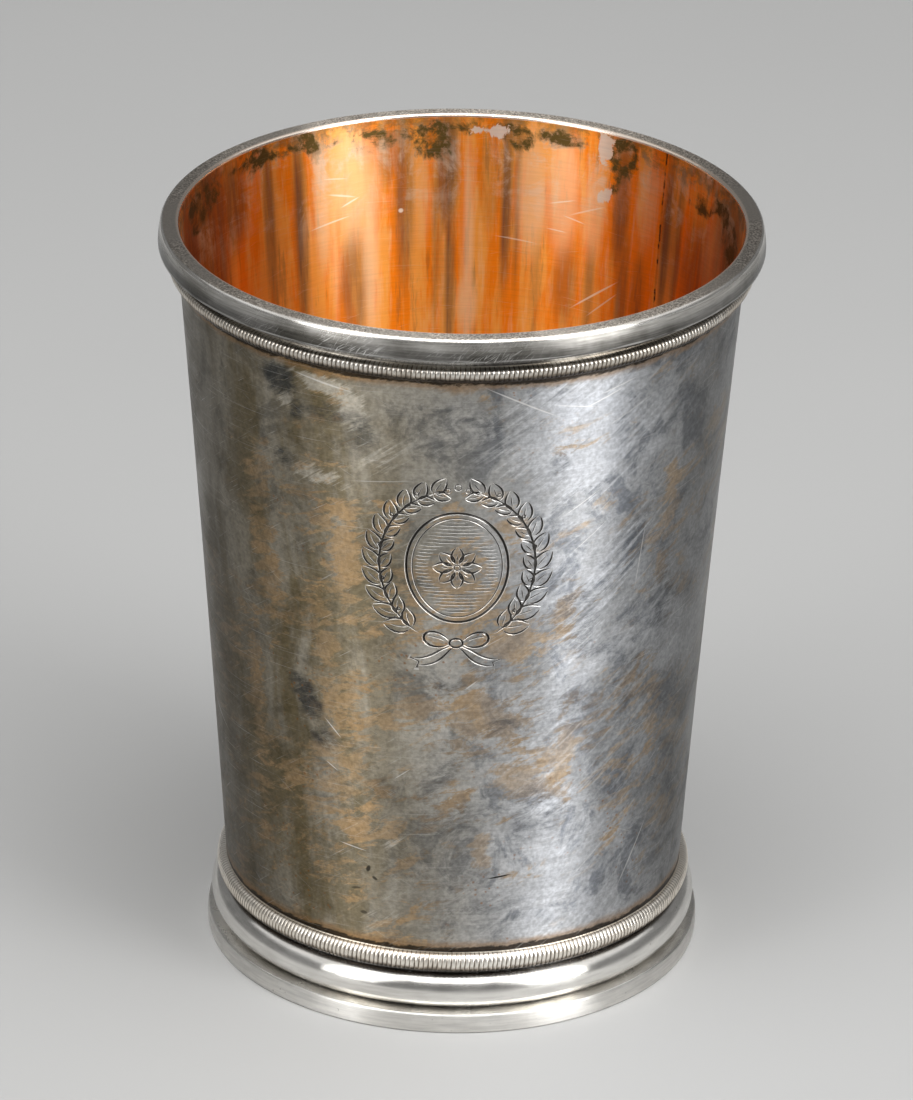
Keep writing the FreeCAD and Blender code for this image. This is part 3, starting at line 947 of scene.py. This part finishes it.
# %% The field, its hatching and its rosette
field_across, field_up = 6.3, 7.9
strokes = [
    closed_stroke(oval(field_across, field_up, 72), outline_width),
    closed_stroke(oval(field_across - 0.75, field_up - 0.75, 64), fine_width),
]

petals = 8
petal_length = 3.1
for number in range(petals):
    turn = number * 360 / petals
    for side in (-1, 1):
        edge = bend((0.45, 0), (1.0, side * 0.95), (2.2, side * 1.0), (petal_length, 0), steps=8)
        strokes.append(stroke(placed(edge, (0, 0), turn), leaf_width))
    vein = bend((0.9, 0), (1.4, 0), (2.0, 0), steps=3)
    strokes.append(stroke(placed(vein, (0, 0), turn), fine_width))
strokes.append(closed_stroke(oval(0.38, 0.38, 14), fine_width))

hatch_gap = 0.5
rosette_reach = petal_length + 0.35
inner_across, inner_up = field_across - 1.0, field_up - 1.0
for level in np.arange(-inner_up + hatch_gap, inner_up, hatch_gap):
    reach = inner_across * math.sqrt(1 - (level / inner_up) ** 2)
    if abs(level) < rosette_reach:
        gap = math.sqrt(rosette_reach**2 - level**2)
        runs = [(-reach, -gap), (gap, reach)]
    else:
        runs = [(-reach, reach)]
    for start, end in runs:
        if end - start > hatch_gap:
            hatch = [(x, level) for x in np.linspace(start, end, 5)]
            strokes.append(stroke(hatch, hair_width, swell=0.2))
print(f"field: {len(strokes)} strokes")

# %% [markdown]
# The wreath is two branches that rise from a bow and meet at the top. A pair of leaves grows from
# each joint, one to each side, and they get smaller upwards, as on a real twig.

# %% The wreath
wreath_across, wreath_up = 9.7, 11.1
stem_start, stem_end = -62, 74
first_leaf, last_leaf = -54, 72
leaf_pairs = 11
leaf_length = 3.7
leaf_spread = 36
berry = oval(0.23, 0.23, 10)
berry -= berry.mean(axis=0)


def leaf(base, degrees, length):
    """A pointed leaf: two swelling edges and a midrib."""
    half = length * 0.23
    for side in (-1, 1):
        fullest = (length * 0.25, side * half * 1.9)
        narrowing = (length * 0.7, side * half * 1.3)
        edge = bend((0, 0), fullest, narrowing, (length, 0), steps=7)
        strokes.append(stroke(placed(edge, base, degrees), leaf_width))
    rib = bend((length * 0.1, 0), (length * 0.4, 0.05 * length), (length * 0.78, 0), steps=4)
    strokes.append(stroke(placed(rib, base, degrees), fine_width))


for side in (-1, 1):
    turns = np.radians(np.linspace(stem_start, stem_end, 34))
    stem = np.column_stack([side * wreath_across * np.cos(turns), wreath_up * np.sin(turns)])
    strokes.append(stroke(stem, leaf_width, swell=0.25))
    for number in range(leaf_pairs):
        turn = math.radians(first_leaf + number * (last_leaf - first_leaf) / (leaf_pairs - 1))
        base = (side * wreath_across * math.cos(turn), wreath_up * math.sin(turn))
        ahead = math.degrees(math.atan2(wreath_up * math.cos(turn), -side * wreath_across * math.sin(turn)))
        shrink = 1 - 0.25 * number / leaf_pairs
        leaf(base, ahead - side * leaf_spread, leaf_length * shrink)
        leaf(base, ahead + side * leaf_spread, leaf_length * 0.8 * shrink)
        if number % 2:
            strokes.append(closed_stroke(placed(berry, (base[0], base[1] + 0.9)), fine_width))
print(f"wreath: {2 * leaf_pairs} pairs of leaves")

# %% The bow
knot = (0, -11.0)
ribbons = (  # the loop, its fold, and the outer and inner edge of the tail
    ([(0.8, 0.2), (2.2, 2.6), (5.6, 2.3), (5.0, -0.9), (2.6, -1.2), (0.8, -0.2)], outline_width),
    ([(1.4, 0.25), (2.4, 1.0), (3.6, 0.9)], fine_width),
    ([(0.6, -0.5), (2.6, -1.0), (2.8, -2.4), (5.6, -2.5)], leaf_width),
    ([(0.3, -0.6), (1.6, -1.6), (1.8, -3.3), (4.9, -3.5)], leaf_width),
)
notch = [(5.6, -2.5), (4.7, -2.9), (4.9, -3.5)]
strokes.append(closed_stroke(placed(oval(0.85, 0.65, 16), knot), leaf_width))
for side in (-1, 1):
    for points, width in ribbons:
        drawn = bend(*[(side * x, y) for x, y in points], steps=14)
        strokes.append(stroke(placed(drawn, knot), width, swell=0.3))
    corner = placed(np.array([(side * x, y) for x, y in notch]), knot)
    for cut in (corner[:2], corner[1:]):
        strokes.append(stroke(cut, fine_width, swell=0))
# Three berries where the two branches meet at the top
for across, size in ((-1.2, 0.3), (0, 0.42), (1.2, 0.3)):
    centre = (across, wreath_up + 0.1 + size - abs(across) * 0.3)
    strokes.append(closed_stroke(placed(oval(size, size, 12), centre), fine_width))
print(f"ornament: {len(strokes)} strokes, {sum(len(s) for s in strokes)} points")

# %% [markdown]
# A groove needs edges where its lips and its bottom run, or it looks like a dent. Cutting thousands
# of small grooves with boolean tools is slow and breaks easily. Instead, the patch of wall that
# carries the ornament is triangulated afresh, with the lips and bottoms of all strokes as lines that
# the triangles must keep. Each point is then pushed in as deep as the deepest stroke above it. The
# patch's border keeps the points of the wall around it, so that the two weld together.

# %% Triangulate the patch round the strokes
graver_slope = 0.85


def depth_at(points):
    """How deep the graver went at each point: its V at the nearest spot of each stroke, deepest first."""
    depth = np.zeros(len(points))
    for line in strokes:
        near = line[:, 2].max()
        low, high = line[:, :2].min(axis=0) - near, line[:, :2].max(axis=0) + near
        inside = np.flatnonzero(((points >= low) & (points <= high)).all(axis=1))
        if not len(inside):
            continue
        start, step = line[:-1, :2], np.diff(line[:, :2], axis=0)
        offset = points[inside, None] - start[None]
        share = np.clip((offset * step).sum(-1) / np.maximum((step**2).sum(-1), 1e-12), 0, 1)
        away = np.linalg.norm(offset - share[..., None] * step, axis=-1)
        half = line[:-1, 2] + share * np.diff(line[:, 2])
        depth[inside] = np.maximum(depth[inside], (half - away).max(axis=1) * graver_slope)
    return depth


def lips(line):
    """The two lips of a stroke, square to its direction."""
    ahead = np.gradient(line[:, :2], axis=0)
    if np.allclose(line[0, :2], line[-1, :2]):
        ahead[0] = ahead[-1] = line[1, :2] - line[-2, :2]
    ahead /= np.linalg.norm(ahead, axis=1)[:, None]
    across = np.column_stack([-ahead[:, 1], ahead[:, 0]]) * line[:, 2:]
    return line[:, :2] + across, line[:, :2] - across


def triangulate(border, spacing):
    """Triangles that fill the border, follow every lip and bottom, and keep to the spacing elsewhere."""
    points = [Vector(p) for p in border]
    edges = [(k, (k + 1) % len(border)) for k in range(len(border))]
    for line in strokes:
        for chain in (line[:, :2], *lips(line)):
            first = len(points)
            points += [Vector(p) for p in chain]
            edges += [(first + k, first + k + 1) for k in range(len(chain) - 1)]
    (left, low), (right, high) = border.min(axis=0), border.max(axis=0)
    across = np.arange(left + spacing, right - spacing / 2, spacing)
    up = np.arange(low + spacing, high - spacing / 2, spacing)
    lattice = np.array([(x + (row % 2) * spacing / 2, y) for row, y in enumerate(up) for x in across[:-1]])
    clear = depth_at(lattice) == 0
    points += [Vector(p) for p in lattice[clear]]
    result = geometry.delaunay_2d_cdt(points, edges, [], 0, 1e-4)
    return np.array([tuple(p) for p in result[0]]), result[2]


# %% [markdown]
# The wall is one closed skin. Outside it is tarnished silver, over the lip it shares the finish of
# the rim band, because the two were filed flush together, and inside it is gilded down to the base.
# Under the base the silver was left bare.

# %% The wall with its ornament
wall_columns = 360
ring_columns = 360
lip_steps = 8
outer_rows = np.linspace(wall_low, top, 85)
inner_rows = np.linspace(top - lip_rounding, wall_low, 60)
lip_centre = (wall_line(top) - thickness + lip_rounding, top - lip_rounding)
wall_outline = outline(
    np.column_stack([wall_line(outer_rows), outer_rows]),
    arc(lip_centre, lip_rounding, 90, 180, lip_steps),
    np.column_stack([wall_line(inner_rows) - thickness, inner_rows]),
)

ornament_height = 68.2
patch_half_columns = 26
patch_half_height = 16.5
triangle_size = 0.8
patch_rows = [k for k, z in enumerate(outer_rows) if abs(z - ornament_height) < patch_half_height]
patch_low, patch_high = patch_rows[0], patch_rows[-1]
points, faces = turned(wall_outline, wall_columns, wall_waves)

column_of, stretch_of = np.divmod(np.arange(len(faces)), len(wall_outline))
front = wall_columns // 2
in_patch = (column_of >= front - patch_half_columns) & (column_of < front + patch_half_columns)
in_patch &= (stretch_of >= patch_low) & (stretch_of < patch_high)

# The patch's border, in millimetres round from the front and up from the ornament's centre
step_angle = 2 * math.pi / wall_columns
patch_across = np.arange(-patch_half_columns, patch_half_columns + 1) * step_angle * mean_radius
patch_up = outer_rows[patch_low : patch_high + 1] - ornament_height
low_side = [(x, patch_up[0]) for x in patch_across]
right_side = [(patch_across[-1], y) for y in patch_up[1:]]
high_side = [(x, patch_up[-1]) for x in patch_across[-2::-1]]
left_side = [(patch_across[0], y) for y in patch_up[-2:0:-1]]
flat, patch_faces = triangulate(np.array(low_side + right_side + high_side + left_side), triangle_size)

depth = depth_at(flat)
patch_angles, patch_heights = flat[:, 0] / mean_radius, flat[:, 1] + ornament_height
patch_radii = wall_line(patch_heights) + wall_waves(patch_angles, patch_heights) - depth
patch_points = around(patch_angles, patch_radii, patch_heights)
print(f"ornament patch: {len(patch_faces)} triangles, deepest cut {depth.max():.2f} mm")

# %% The finishes of the wall
outside, over_lip, inside, between_rings, under = 0, 1, 2, 3, 0
outer_end, lip_end = len(outer_rows) - 1, len(outer_rows) + lip_steps
stretch_heights = wall_outline[stretch_of, 1]

# The wall takes on the foot's finish behind the two wires, where the change doesn't show
behind_lower, behind_upper = lower_wire_top - 1.6, upper_wire_low + 0.3
covered = (stretch_heights < behind_lower) | (stretch_heights > behind_upper)
finish_of = np.full(len(faces), inside)
finish_of[stretch_of < outer_end] = outside
finish_of[(stretch_of < outer_end) & covered] = between_rings
finish_of[(stretch_of >= outer_end) & (stretch_of < lip_end)] = over_lip
finish_of[(stretch_of >= lip_end) & (stretch_heights < base_top)] = under

kept = ~in_patch
wall_points = np.vstack([points, patch_points])
wall_faces = [*faces[kept], *[[len(points) + k for k in face] for face in patch_faces]]
wall_finish = np.concatenate([finish_of[kept], np.zeros(len(patch_faces), dtype=int)])
print(f"finishes of the wall: {np.bincount(wall_finish).tolist()} faces each")

# %% [markdown]
# A stain is soft, so it needs no node of its own: how strong it is can be worked out once for each
# point of the mesh. Each table of marks becomes one number, and a finish reads that number.


# %% Put the wall together
def strength(marks, angles, heights, soft):
    """How strong the marks of a table are at each point. Where marks overlap, the strongest counts."""
    result = np.zeros(len(angles))
    for degrees, height, half_across, half_up, tilt, most in marks:
        turn = math.radians(tilt)
        across = (np.mod(angles - math.radians(degrees) + math.pi, 2 * math.pi) - math.pi) * mean_radius
        along = (across * math.cos(turn) + (heights - height) * math.sin(turn)) / half_across
        off = ((heights - height) * math.cos(turn) - across * math.sin(turn)) / half_up
        fade = np.clip((1 + soft - np.hypot(along, off)) / (2 * soft), 0, 1)
        result = np.maximum(result, most * fade**2 * (3 - 2 * fade))
    return result


# The inside starts half way round the lip
inner_side = np.zeros(len(wall_points), dtype=bool)
inner_side[: len(points)] = np.arange(len(points)) % len(wall_outline) > lip_end - lip_steps // 2
turns_of_points = np.arctan2(wall_points[:, 0], -wall_points[:, 1])
numbers = {"cut": np.concatenate([np.zeros(len(points)), depth / depth.max()])}
tables = {
    "warm": (amber_stains, lip_stains), "dark": (dark_stains_and_shade, dark_streaks_and_shade),
    "pale": (pale_stains_and_highlights, pale_streaks_and_reflections), "bare": ((), bare_spots),
}
outer_soft, inner_soft = 0.7, 0.45
for label, (outer_marks, inner_marks) in tables.items():
    outer = strength(outer_marks, turns_of_points, wall_points[:, 2], outer_soft)
    inner = strength(inner_marks, turns_of_points, wall_points[:, 2], inner_soft)
    numbers[label] = np.where(inner_side, inner, outer)
    print(f"{label}: {len(outer_marks)} marks outside, {len(inner_marks)} inside")
make_piece(
    "silver_wall", wall_points, wall_faces, [worn_silver, brushed_silver, gilding, polished_silver],
    ["body_wall"], wall_finish, numbers, crisp=22,
)

# %% [markdown]
# The rim band is a heavy strip soldered round the lip. Its face swells very slightly, its upper
# outer edge is well rounded from wear, and its lower edge is a thin lip that catches the light.
# Its top was filed flush with the lip of the wall, so its back here touches the wall: no gap shows.

# %% The rim band
band_outer = box_of("rim_band")[1].x
band_rounding = band_outer - radii_at("rim_band", top)[1]
band_crown = 0.24
band_edge = 0.2
rounding_start = 12
face_low, face_high = band_low + band_edge, top - band_rounding
face_heights = np.linspace(face_low, face_high, 10)[1:-1]
face_share = (face_heights - face_low) / (face_high - face_low)
band_face = np.column_stack([band_outer - band_crown * face_share**2, face_heights])
rounding_centre = (band_outer - band_crown - band_rounding, top - band_rounding)
band_outline = outline(
    (wall_line(band_low), band_low),
    arc((band_outer - band_edge, band_low + band_edge), band_edge, -90, 0, 5),
    band_face,
    arc(rounding_centre, band_rounding, rounding_start, 90, 12),
    (lip_outer, top),
)
band_points, band_faces = turned(band_outline, ring_columns)
make_piece("rim_band_fine", band_points, band_faces, [brushed_silver], ["rim_band"])

# %% [markdown]
# The foot is a plain ring with softened edges, and above it a heavy half-round moulding. Both were
# polished by hand for a century, so they are smooth to the eye, but not quite even. The moulding
# nearly touches the ring below it and the wire above it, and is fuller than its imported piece.

# %% The foot ring and the moulding
ring_waves = np.array([[3, 0.03], [5, 0.02], [9, 0.01], [14, 0.006], [23, 0.003]])
ring_starts = np.random.default_rng(3).uniform(0, 2 * math.pi, len(ring_waves))


def ring_wobble(angle, height):
    """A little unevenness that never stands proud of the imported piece."""
    stray = sum(size * np.sin(turns * angle + start) for (turns, size), start in zip(ring_waves, ring_starts))
    return stray - ring_waves[:, 1].sum()


off_wall = 0.02
foot_outer = box_of("foot_ring")[1].x
foot_edge = 0.32
foot_crown = 0.06
foot_heights = np.linspace(foot_edge, foot_top - foot_edge, 9)
foot_share = 2 * (foot_heights - foot_edge) / (foot_top - 2 * foot_edge) - 1
foot_outline = outline(
    (wall_line(0), 0),
    arc((foot_outer - foot_crown - foot_edge, foot_edge), foot_edge, -90, 0, 6),
    np.column_stack([foot_outer - foot_crown * foot_share**2, foot_heights])[1:-1],
    arc((foot_outer - foot_crown - foot_edge, foot_top - foot_edge), foot_edge, 0, 90, 6),
    (wall_line(foot_top) + off_wall, foot_top),
)
foot_points, foot_faces = turned(foot_outline, ring_columns, ring_wobble)
make_piece("foot_ring_fine", foot_points, foot_faces, [polished_silver], ["foot_ring"])

# %% [markdown]
# The moulding is half of a circle, drawn once and then scaled to its own height and depth. It sits
# between the ring and the wire with hardly a gap, as three wires do that were soldered on together.

# %% The moulding
gap_below, gap_above = 0.12, 0.1
moulding_low, moulding_top = foot_top + gap_below, lower_wire_low - gap_above
moulding_middle = (moulding_top + moulding_low) / 2
moulding_centre = wall_line(moulding_middle)
moulding_outer = box_of("half_round_moulding")[1].x
half_round = arc((0, 0), 1, -90, 90, 48)
half_round[:, 0] = moulding_centre + half_round[:, 0] * (moulding_outer - moulding_centre)
half_round[:, 1] = moulding_middle + half_round[:, 1] * (moulding_top - moulding_low) / 2
moulding_outline = outline(
    (wall_line(moulding_low) + off_wall, moulding_low),
    half_round,
    (wall_line(moulding_top) + off_wall, moulding_top),
)
moulding_points, moulding_faces = turned(moulding_outline, ring_columns, ring_wobble)
make_piece(
    "moulding_fine", moulding_points, moulding_faces, [polished_silver],
    ["half_round_moulding"],
)

# %% [markdown]
# Milled wire was rolled between wheels that pressed fine ribs across its round face and left a thin
# plain edge along each side. The imported model has one ridge for every three real ribs. Here each
# rib is real: the columns of the mesh follow the ribs, which lean a little, and no two are alike.
# Dirt is left in the cuts and the lower side gets painted shade, so the number for the cuts fades towards the
# upper side.
# The upper wire sits a little askew: its crest lies above its middle.


# %% The milled wires
def milled_ring(name, node, pitch, plain, crest_shift, seed):
    """A half-round wire with ribs across it and a plain strip along each edge, bent round the wall."""
    (_, _, low), (crest_radius, _, high) = box_of(node)
    middle, half_width = (low + high) / 2, (high - low) / 2
    rise = crest_radius - wall_line(middle)
    ribs = round(2 * math.pi * crest_radius / pitch)
    draw = np.random.default_rng(seed)
    starts = (np.arange(ribs) + draw.uniform(-0.04, 0.04, ribs)) * 2 * math.pi / ribs
    widths = np.diff(np.append(starts, starts[0] + 2 * math.pi))
    share = np.arange(rib_samples) / rib_samples
    angles = (starts[:, None] + widths[:, None] * share).ravel()
    valley = np.tile(1 - np.sin(math.pi * share) ** 0.75, ribs)
    depths = np.repeat(draw.uniform(0.9, 1.1, ribs), rib_samples) * rib_depth

    # The outline from below: the plain edge, the round face, and the plain edge above
    tilt = np.radians(np.concatenate([[-90, -90, -90], np.linspace(-86, 86, 13), [90, 90, 90]]))
    offsets = (half_width - plain) * np.sin(tilt) + crest_shift * np.cos(tilt) ** 2
    offsets[[0, 1]], offsets[[-2, -1]] = -half_width, half_width
    rises = plain_rise + (rise - plain_rise) * np.cos(tilt)
    rises[[0, -1]] = off_wall
    worn = np.interp(tilt, worn_from_to, [1, worn_left])
    pressed = valley[:, None] * depths[:, None] * np.cos(tilt) ** 0.35 * worn
    heights = middle + offsets + 0 * pressed
    radii = wall_line(heights) + rises - pressed
    lean = rib_lean * offsets / crest_radius
    on_ribs = np.cos(tilt) > 0.05
    dirt_and_shade = valley[:, None] * on_ribs * np.interp(tilt, np.radians([-40, 50]), cut_dirt)
    # Painted shade on the lower side of the wire, ribs and all
    dirt_and_shade = np.maximum(dirt_and_shade, np.interp(tilt, np.radians([-40, 9]), [under_shade, 0]) + 0 * dirt_and_shade)
    print(f"{name}: {ribs} ribs, one each {2 * math.pi * crest_radius / ribs:.3f} mm")
    points = around(angles[:, None] + lean, radii, heights).reshape(-1, 3)
    faces = skin(len(angles), len(tilt))
    return make_piece(
        name, points, faces, [milled_silver], [node], numbers={"cut": dirt_and_shade.ravel()}, crisp=60
    )


rib_samples = 8
rib_depth = 0.13
rib_lean = 0.08
plain_rise = 0.12
worn_from_to = [-0.5, 1.2]  # the cuts get shallower between these two tilts, in radians
worn_left = 0.5  # what is left of a cut at the upper one
cut_dirt = (1.0, 0.7)  # the share of dirt in the cuts, below and above
under_shade = 0.95  # the share of painted shade on the lower side, ribs and all
milled_ring("upper_milled_wire_fine", "upper_milled_wire", 0.617, 0.1, 0.3, 11)
milled_ring("lower_milled_wire_fine", "lower_milled_wire", 0.608, 0.1, 0.0, 12)

# %% [markdown]
# The base is a disc soldered inside the wall, a few millimetres above the table. Its upper side is
# gilded with the rest of the inside, and its under side is bare silver. A thin fillet of solder
# runs round it above and below.

# %% The base
base_edge = wall_line(base_low) - thickness
fillet = 0.5
base_columns = 180
base_outline = outline(
    (0.0, base_low),
    (base_edge - fillet, base_low),
    arc((base_edge - fillet, base_low - fillet), fillet, 90, 0, 5)[1:-1],
    (wall_line(base_low - fillet) - thickness + off_wall, base_low - fillet),
    (wall_line(base_top + fillet) - thickness + off_wall, base_top + fillet),
    arc((base_edge - fillet, base_top + fillet), fillet, 0, -90, 5)[1:-1],
    (base_edge - fillet, base_top),
    (0.0, base_top),
)
base_points, base_faces = turned(base_outline, base_columns)
base_stretch = np.arange(len(base_faces)) % len(base_outline)
gilded_side = base_stretch >= len(base_outline) // 2
make_piece(
    "base_fine", base_points, base_faces, [worn_silver, gilding], ["base_plate"],
    gilded_side.astype(int),
)

# %% [markdown]
# The camera repeats the view of the photograph: a long lens, looking down at the beaker. Its place
# follows from the tilt, the distance and how far the beaker lies from the middle of the picture.

# %% The camera
picture_height = 1100
focal_length_pixels = 7000
look_down = math.radians(25.349)
roll = math.radians(0.864)
distance = 923.66
aim_right, aim_up = -0.115, 3.31

ahead = Vector((0, math.cos(look_down), -math.sin(look_down)))
right = Vector((1, 0, 0))
upward = right.cross(ahead)
camera_place = Vector((0, 0, top / 2)) - ahead * distance + right * aim_right + upward * aim_up
axes = (
    right * math.cos(roll) + upward * math.sin(roll),
    upward * math.cos(roll) - right * math.sin(roll),
    -ahead,
)
lens = bpy.data.cameras.new("camera")
lens.sensor_width = 36
lens.lens = focal_length_pixels / picture_height * lens.sensor_width
camera = bpy.data.objects.new("camera", lens)
bpy.context.scene.collection.objects.link(camera)
camera.matrix_world = Matrix.Translation(camera_place * METRES) @ Matrix(axes).transposed().to_4x4()
bpy.context.scene.camera = camera
print(f"camera: {lens.lens:.1f} mm lens, {distance:.0f} mm away")

# %% [markdown]
# Silver is a mirror, so lighting it means choosing what it sees. It sees a pale floor and a pale,
# even room, which show as the quiet greys between the lights.

# %% The room
floor_reach = 3.0
floor_dark, floor_light = (0.43, 0.43, 0.425), (0.46, 0.46, 0.455)
room_brightness = 0.19
bpy.ops.mesh.primitive_circle_add(vertices=96, radius=floor_reach, fill_type="NGON", location=(0, 0, 0))
floor = bpy.context.object
floor.name = "floor"
floor_paint = Finish("floor_paint", Metallic=0.0)
floor_colour = floor_paint.mix(floor_paint.noise(floor_paint.place, 6.0, 2.0), floor_dark, floor_light)
floor.data.materials.append(floor_paint.done(floor_colour, 0.6))
floor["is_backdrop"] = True

world = bpy.data.worlds.new("room")
world.use_nodes = True
room = world.node_tree
room.nodes["Background"].inputs["Color"].default_value = (1, 1, 1, 1)
room.nodes["Background"].inputs["Strength"].default_value = room_brightness
bpy.context.scene.world = world
print(f"floor {2 * floor_reach:.0f} m across, room brightness {room_brightness}")

# %% [markdown]
# On each side stands a tall soft lamp with a narrow, bright strip in front of it. They draw the two
# long lights on the wall. A high lamp shines into the beaker, and two weak ones further round fill
# the flanks. A lamp's power grows with its area, so that each number tells how bright it looks.

# %% The lamps
lamp_distance = 1.0  # metres, from the middle of the beaker
# Each lamp: degrees round from the front, degrees above the table, width, height, brightness
lamps = {
    "left_lamp": (-48, 45, 0.55, 1.6, 1.6),
    "left_strip": (-47, 32, 0.2, 1.0, 2.3),
    "right_lamp": (50, 45, 0.62, 1.6, 1.9),
    "right_strip": (52, 32, 0.34, 1.0, 3.6),
    "high_lamp": (0, 72, 0.5, 0.8, 2.9),
    "left_side": (-98, 57, 0.9, 0.8, 0.6),
    "right_side": (98, 57, 0.9, 0.8, 0.7),
}
for name, (side, rise, width, height, brightness) in lamps.items():
    lamp = bpy.data.lights.new(name, "AREA")
    lamp.shape = "RECTANGLE"
    lamp.size, lamp.size_y = width, height
    lamp.energy = brightness * math.pi * width * height
    holder = bpy.data.objects.new(name, lamp)
    bpy.context.scene.collection.objects.link(holder)
    turn, climb = math.radians(side), math.radians(rise)
    way = Vector((math.sin(turn) * math.cos(climb), -math.cos(turn) * math.cos(climb), math.sin(climb)))
    holder.location = Vector((0, 0, top / 2 * METRES)) + way * lamp_distance
    holder.rotation_euler = (-way).to_track_quat("-Z", "Y").to_euler()
    holder.visible_camera = False
print(f"{len(lamps)} lamps")

view = bpy.context.scene.view_settings
view.view_transform = "Standard"

# %% [markdown]
# The last step measures everything again, and prints both boxes: the imported pieces' and the fine ones'.

# %% Print the two boxes, and finish
new_low, new_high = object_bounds()
boxes = {"cad": [list(cad_low), list(cad_high)], "visual": [list(new_low), list(new_high)]}
for name, (low, high) in boxes.items():
    print(name, "box in millimetres:", [round(v / METRES, 2) for v in (*low, *high)])
